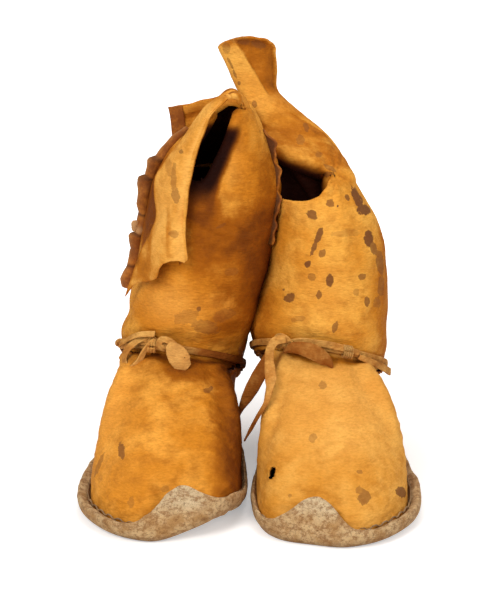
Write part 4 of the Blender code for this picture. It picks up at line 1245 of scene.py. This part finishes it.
def welts(material):
    """The two dark seam edges that stand off the right leg."""
    count = 170
    s = np.linspace(0, 1, count)
    outline = [(11.4, -8.85), (12.1, -8.95), (12.9, -8.6), (13.8, -8.3), (14.4, -8.1),
               (15.0, -8.25), (15.45, -8.3), (15.6, -7.85), (16.5, -7.65), (17.2, -7.5),
               (17.8, -7.65), (18.5, -7.6), (19.2, -7.62), (19.55, -7.6), (19.7, -7.05),
               (20.3, -6.95), (20.95, -6.9), (21.1, -6.35), (21.8, -5.85), (22.6, -5.2),
               (23.3, -4.2)]
    height = 11.4 + 11.9 * s
    t = np.linspace(0, 1, 14)[None]
    root = leg_point(RIGHT, 172, height)
    rim = np.stack([np.interp(height, *zip(*outline)), root[:, 1] + 0.1, height], 1)
    root = root + np.array((0.15, 0, 0))
    side = root[:, None] + (rim - root)[:, None] * t[..., None]
    wave = 0.2 * np.sin(s * 30 + 0.6) + 0.1 * np.sin(s * 61)
    side[..., 1] += wave[:, None] * t ** 1.5 - 0.25 * np.sin(math.pi * t)
    side = side + 0.05 * np.stack([noise(side, 0.9, 201 + c) for c in range(3)], -1)
    # Painted shadow under the steps and bumps of the strip's outline and painted shade at its root
    # against the leg; paler at one spot and along its outer edge.
    steps = sum(bell(height, z, 0.1) for z in (15.55, 19.62, 21.02, 17.0, 13.2))[:, None]
    pale = 0.9 * bell(s, 0.375, 0.018)[:, None]
    side = shell(side[:, ::-1], 0.2, pale=np.clip(pale + 0.45 * bell(t, 0.0, 0.2), 0, 1),
                 burn=np.clip(0.9 * steps + 0.9 * ease(0.45, 0.95, t), 0, 1))
    toggle = lump(leg_point(RIGHT, 172.2, 16.0) + (-0.55, -0.15, 0.1), (0.3, 0.26, 0.42), 4)
    toggle[2]["pale"] = np.full(len(toggle[0]), 1.0)
    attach(piece("right_side_welt_strip", joined(side, toggle), material,
                  ["right_side_welt"]), "right_shaft")
    reach = (0.5 + 0.1 * np.sin(s * 23) + 0.06 * np.sin(s * 51)) * ease(1.08, 0.85, s)
    ripple = 0.15 * np.sin(s * 27)
    rear = fin(RIGHT, -20 + 12 * s, 15.4 + 8.0 * s, reach, ripple, 0.16, 211,
               burn=ease(0.95, 0.6, t))
    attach(piece("right_rear_welt_strip", rear, material, ["right_rear_welt"]),
            "right_shaft")


def rear_cuff(hide_material, band_material):
    """The leg's upstanding rear end behind the peak, and the dark strip on it."""
    t, s = np.linspace(0, 1, 90)[:, None], np.linspace(0, 1, 90)[None]
    x = -4.75 + 3.4 * t - 0.85 * s * (1 - t)
    z = 19.6 + (23.7 + 1.0 * t - 19.6) * s
    grid = np.stack([x, 9.5 - 0.7 * ease(0.35, 0, s) + 0 * x, z], -1)
    level = z - 0.25 * x + 0.5 * noise(grid, (0.3, 0.3, 0.3), 15)
    folds = np.sin(level * 6.0 + 1.3 * noise(grid, (0.8, 1, 0.8), 16))
    grid[..., 1] -= 0.05 * folds * ease(0, 0.2, t) + 0.12 * noise(grid, 0.5, 17)
    grid[..., 2] += 0.05 * noise(grid, 1.2, 18) * ease(0.9, 1, s)
    # A little darker all over, with painted shade in the troughs of its folds.
    shape = shell(grid, 0.18, inside_shade=0.0, burn=np.clip(0.2 + 0.3 * bell(folds, -1, 0.5), 0, 1),
                  **marks(grid, []))
    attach(piece("right_rear_cuff_hide", shape, hide_material,
                  ["right_rear_cuff"]), "right_shaft")
    t = np.linspace(0, 1, 16)[:, None]
    x = -4.9 + 1.0 * t - 0.9 * s - 0.12 * np.sin(s * 5)
    grid = np.stack([x, 9.3 - 0.05 * np.sin(math.pi * t) + 0 * x, 19.8 + 3.98 * s + 0.1 * t], -1)
    grid[..., 1] -= 0.05 * noise(grid, 1.1, 19)
    shape = shell(grid, 0.1)
    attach(piece("right_cuff_band_strip", shape, band_material,
                  ["right_cuff_band"]), "right_shaft")


# ---- pieces: ties ----------------------------------------------------------------------------

def band(boot, seed, width, darker_angles=(0, 0)):
    """The flat thong once round the ankle, uneven in width and tilt."""
    n = 320
    angle = (np.arange(n) * 360 / n)[:, None]
    t = np.linspace(-0.5, 0.5, 11)[None]
    spots = boot.ring(angle[:, 0])
    wide = width * (1 + 0.12 * noise(spots, 0.7, seed)[:, None])
    tilt = 0.10 * noise(spots, 0.45, seed + 1)[:, None]
    drop = 0.06 * noise(spots, 0.4, seed + 2)[:, None]
    out = BAND_OUT + 0.04 + tilt * t * 2 + 0.05 * (0.25 - t * t) * 4
    grid = boot.ring(angle + 0 * t, out, BAND_MIDDLE + drop + wide * t)
    # Darker over the given span of angles.
    dark = ease(*darker_angles, angle % 360) if darker_angles[1] else 0 * angle
    return shell(grid, 0.15, True, inside_shade=0.0, burn=0.1 + 0.85 * dark)


def strand(boot, angles, outs, ups, widths):
    """A length of thong laid along the ankle ring."""
    route = np.stack([boot.ring(np.array(a, float), o, u) for a, o, u in zip(angles, outs, ups)])
    middle = np.array((*boot.ankle, 0.0))
    facing = [unit((p - middle) * (1, 1, 0)) for p in route]
    return strap(route, widths, facing, 40 + 10 * len(angles), thickness=0.13)


def right_ties(material):
    """The right ankle thong, its knot, and the bow's loop, stub and tail."""
    boot, body = RIGHT, "right_foot"

    def tie(name, shape, node):
        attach(piece(name, shape, material, [node]), body)

    rope = []
    for phase in (0.0, math.pi):
        a = np.linspace(188, 250, 120)
        twist = a * 0.19 + phase
        rope.append(tube(np.stack([boot.ring(x, BAND_OUT + 0.20 + 0.10 * math.cos(w),
                                             0.74 + 0.12 * math.sin(w))
                                   for x, w in zip(a, twist)]), 0.13))
    tie("right_ankle_thong", joined(band(boot, 301, 0.6, (272, 300)), *rope), "right_ankle_tie")
    phi = np.linspace(0, 2 * math.pi * 0.98, 60)
    wraps = []
    for k in range(3):
        middle = boot.ring(242.5 + 2.6 * k, 0.42, 0.6)
        line = middle + np.stack([0.04 * np.sin(phi), -0.30 * np.cos(phi),
                                  0.44 * np.sin(phi)], 1)
        wraps.append(tube(line, 0.12))
    knot = lump(boot.ring(258.0, 0.7, 0.55), (0.5, 0.35, 0.34), 2, 0.2)
    over = strand(boot, (252, 255, 260, 266, 269), (0.55, 0.95, 1.1, 0.95, 0.7),
                  (0.35, 0.95, 1.05, 0.75, 0.1), (0.4, 0.45, 0.45, 0.45, 0.5))
    tie("right_knot_thong", joined(knot, over, *wraps), "right_tie_knot")
    loop = [(-6.6, 1.8, 9.5), (-7.1, 1.95, 9.3), (-7.67, 2.0, 9.0), (-8.25, 2.0, 8.5),
            (-8.5, 1.9, 7.9), (-8.28, 1.5, 7.4), (-7.9, 1.2, 7.45), (-7.5, 1.35, 8.0),
            (-7.16, 1.55, 8.65), (-6.8, 1.65, 9.05), (-6.4, 1.6, 9.3)]
    faces = [(-0.1, -0.6, 0.8), (-0.2, -0.6, 0.8), (-0.45, -0.6, 0.6), (-0.8, -0.6, 0.3),
             (-0.8, -0.7, -0.2), (-0.1, -0.7, -0.7), (0.5, -0.7, -0.5), (0.5, -0.8, -0.3),
             (0.4, -0.9, -0.2), (0.3, -0.9, -0.2), (0.2, -0.9, -0.2)]
    tie("right_loop_thong", strap(loop, (0.4, 0.5, 0.6, 0.7, 0.62, 0.5, 0.4), faces, 130),
        "right_tie_loop")
    stub = [boot.ring(a, o, u) for a, o, u in ((262, 0.95, 0.75), (265.5, 1.2, 0.35),
                                               (269, 1.4, -0.1), (272, 1.45, -0.5),
                                               (275, 1.4, -0.75))]
    broad = strap(stub, (0.6, 1.25, 1.5, 1.4, 0.75), (0, -1, 0.15), 50, 15, 0.16, 0.16,
                  pale=0.6)
    pins = [lump(boot.ring(a, 1.66, -0.12), (0.045, 0.04, 0.05), 1, 0) for a in (270, 273.2)]
    for pin in pins:
        pin[2]["burn"] = np.full(len(pin[0]), 1.0)
        pin[2]["inside"] = np.full(len(pin[0]), 1.0)
    tie("right_stub_thong", joined(broad, *pins), "right_tie_stub")
    tail = [(-6.4, 1.4, 9.75), (-7.4, 1.75, 9.6), (-8.2, 2.4, 9.1), (-8.95, 3.2, 8.25)]
    tie("right_tail_thong", strap(tail, (0.42, 0.42, 0.38, 0.3, 0.12), (-0.2, -0.8, 0.5), 70),
        "right_tie_tail")


def left_ties(material, sinew):
    """The left ankle thong, its knot, leaf and lashing, and its two hanging tails."""
    boot, body = LEFT, "left_foot"

    def tie(name, shape, node, using=material, slot="thong"):
        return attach(piece(name, shape, using, [node]), body)

    second = strand(boot, (300, 312, 324, 336, 350, 5), (0.42, 0.5, 0.55, 0.5, 0.45, 0.35),
                    (0.35, 0.12, -0.05, -0.15, -0.1, 0.1), (0.4, 0.45, 0.5, 0.5, 0.5, 0.4))
    flat = strand(boot, (246, 256, 268, 280, 292, 300), (0.7, 0.62, 0.55, 0.55, 0.5, 0.45),
                  (0.55, 0.8, 0.85, 0.8, 0.7, 0.6), (0.5, 0.5, 0.46, 0.5, 0.42, 0.4))
    tie("left_ankle_thong", joined(band(boot, 321, 0.52), second, flat), "left_ankle_tie")
    knot = lump(boot.ring(243.0, 0.78, 0.5), (0.48, 0.38, 0.36), 6, 0.16)
    over = strand(boot, (236, 240, 245, 250), (0.65, 1.1, 1.15, 0.7), (0.2, 0.8, 0.85, 0.35),
                  (0.35, 0.5, 0.5, 0.35))
    tie("left_knot_thong", joined(knot, over), "left_tie_knot")
    leaf = [boot.ring(a, o, u) for a, o, u in ((245.0, 0.95, 0.0), (251.0, 1.25, 0.2),
                                               (258.0, 1.35, 0.2), (266.0, 1.35, 0.0),
                                               (274.0, 1.25, -0.45), (277.0, 1.2, -0.8))]
    tie("left_leaf_thong", strap(leaf, (0.3, 0.75, 1.0, 1.15, 1.0, 0.25), (0.1, -1, 0.3), 80, 15,
                                 0.12, 0.2, burn=0.45), "left_tie_leaf")
    broad_route, thin_route = smooth_path(LEFT_BROAD_TAIL, 40), smooth_path(LEFT_THIN_TAIL, 60)
    broad = tie("left_broad_tail_thong",
                strap(LEFT_BROAD_TAIL, (0.5, 0.85, 1.0, 1.0, 0.8, 0.45, 0.12), (-0.3, -0.95, 0),
                      80, 11, 0.14, 0.08, burn=0.5), "left_tie_broad_tail")
    tip = 0.75 * ease(0.55, 0.85, np.linspace(0, 1, 150))[:, None]
    thin = tie("left_thin_tail_thong",
               strap(LEFT_THIN_TAIL, (0.6, 0.65, 0.7, 0.8, 0.85, 0.5, 0.36, 0.34, 0.3, 0.12),
                     (-0.25, -0.9, 0.35), 150, 11, 0.14, 0.08, burn=tip), "left_tie_thin_tail")
    for obj, route, wide in ((broad, broad_route, 0.0080), (thin, thin_route, 0.0060)):
        path = metres(route)
        length = float(np.linalg.norm(np.diff(path, axis=0), axis=1).sum())
    turns = []
    for k in range(5):
        phi = np.linspace(0, 2 * math.pi, 60)
        a = 287.6 + 1.5 * k
        line = np.stack([boot.ring(a + 0.3 * math.sin(f), BAND_OUT + 0.16 + 0.30 * math.cos(f),
                                   BAND_MIDDLE + 0.44 * math.sin(f)) for f in phi])
        turns.append(tube(line, THREAD_RADIUS, 8))
    tie("left_sinew_lashing", joined(*turns), "left_tie_lashing", sinew, "sinew")


# ---- the set ---------------------------------------------------------------------------------

CAMERA_TILT = math.radians(17.0)
CAMERA_DISTANCE = 1.40
CAMERA_LENS = 131.4  # millimetres, on a sensor 36 wide
CAMERA_AIM = (0.00025, -0.0634, 0.145)
FLOOR_REACH = 6.0
WORLD_LIGHT = 0.30
LAMPS = (("key", (-0.75, -1.1, 1.05), 0.7, 17), ("fill", (0.95, -0.9, 0.75), 0.9, 9),
         ("top", (0.1, 0.25, 1.4), 0.9, 9))  # each lamp's place, size and power
LAMPS_AIM = (0.0, 0.0, 0.12)


def studio():
    """The camera, three soft lamps, and a floor and backdrop that the camera sees as white."""
    camera = placed("camera", bpy.data.cameras.new("camera"))
    bpy.context.scene.camera = camera
    camera.location = Vector(CAMERA_AIM) + CAMERA_DISTANCE * Vector(
        (0, -math.cos(CAMERA_TILT), math.sin(CAMERA_TILT)))
    camera.rotation_euler = (math.pi / 2 - CAMERA_TILT, 0, 0)
    camera.data.sensor_width = 36
    camera.data.lens = CAMERA_LENS
    camera.data.clip_start = 0.05

    mesh = bpy.data.meshes.new("floor")
    corners = ((-1, -1), (1, -1), (1, 1), (-1, 1))
    mesh.from_pydata([(x * FLOOR_REACH, y * FLOOR_REACH, 0) for x, y in corners], [],
                     [(0, 1, 2, 3)])
    floor = placed("floor", mesh)
    n = Nodes("floor")
    far = n.node("ShaderNodeVectorMath", "Value", {"operation": "LENGTH"},
                 i0=n.node("ShaderNodeNewGeometry", "Position"))
    rise = n.node("ShaderNodeMapRange", 0, None, Value=far, From_Min=0.1, From_Max=0.7,
                  To_Min=0.36, To_Max=1.0)
    seen = n.node("ShaderNodeLightPath", "Is Camera Ray")
    for name, value in (("Base Color", (0.82, 0.80, 0.78)), ("Roughness", 0.9),
                        ("Specular IOR Level", 0.0), ("Emission Color", (1.0, 1.0, 1.0)),
                        ("Emission Strength", n.sum("MULTIPLY", seen, rise))):
        n.into(n.shader.inputs[name], value)
    mesh.materials.append(n.material)

    world = bpy.data.worlds.new("world")
    bpy.context.scene.world = world
    world.use_nodes = True
    world.node_tree.nodes["Background"].inputs["Color"].default_value = (1, 1, 1, 1)
    seen = world.node_tree.nodes.new("ShaderNodeLightPath")
    glow = world.node_tree.nodes.new("ShaderNodeMath")
    glow.operation = "MULTIPLY_ADD"
    glow.inputs[1].default_value = 1.0 - WORLD_LIGHT
    glow.inputs[2].default_value = WORLD_LIGHT
    world.node_tree.links.new(seen.outputs["Is Camera Ray"], glow.inputs[0])
    world.node_tree.links.new(glow.outputs[0],
                              world.node_tree.nodes["Background"].inputs["Strength"])
    bpy.context.scene.view_settings.view_transform = "Standard"

    for name, place, size, power in LAMPS:
        lamp = bpy.data.lights.new(name, "AREA")
        lamp.size, lamp.energy = size, power
        obj = placed(name, lamp)
        obj.location = place
        obj.rotation_euler = (Vector(LAMPS_AIM) - Vector(place)).to_track_quat("-Z", "Y").to_euler()


def main():
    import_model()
    studio()

    right_upper = hide("right_upper_hide", (0.80, 0.345, 0.046), (0.60, 0.21, 0.013),
                       (0.33, 0.095, 0.004), shift=2.0)
    left_upper = hide("left_upper_hide", (0.76, 0.37, 0.070), (0.64, 0.26, 0.030),
                      (0.46, 0.155, 0.010), shift=9.0)
    right_hide = hide("right_leg_leather", (0.80, 0.35, 0.046), (0.60, 0.20, 0.011),
                      (0.33, 0.088, 0.003), shift=4.0)
    left_hide = hide("left_leg_leather", (0.84, 0.40, 0.062), (0.67, 0.25, 0.020),
                     (0.42, 0.125, 0.006), shift=6.0)
    flap_hide = hide("flap_leather", (0.86, 0.43, 0.085), (0.68, 0.27, 0.032),
                     (0.46, 0.15, 0.010), grain=0.8, shift=8.0)
    thong = hide("thong_leather", (0.74, 0.38, 0.095), (0.54, 0.22, 0.042),
                 (0.27, 0.08, 0.010), grain=1.3, blotch=0.7, shift=1.0)
    sinew = hide("sinew", (0.66, 0.38, 0.12), (0.55, 0.27, 0.07), (0.3, 0.12, 0.02), grain=1.4,
                 blotch=1.2, shift=5.0)
    raw = rawhide()
    welt = dark_hide("dark_welt", (0.24, 0.062, 0.004), (0.44, 0.14, 0.012))
    thread = dark_hide("sole_thread", (0.20, 0.11, 0.045), (0.36, 0.22, 0.10))

    for boot, upper, spots, seed in ((RIGHT, right_upper, RIGHT_VAMP_MARKS, 101),
                                     (LEFT, left_upper, LEFT_VAMP_MARKS, 131)):
        sole(boot, raw)
        stitching(boot, thread)
        vamp(boot, upper, spots, seed)
        quarter(boot, upper, seed + 20)
    right_leg(right_hide)
    flap(flap_hide)
    welts(welt)
    rear_cuff(right_hide, welt)
    left_leg(left_hide)
    left_top(left_hide)
    right_ties(thong)
    left_ties(thong, sinew)


main()
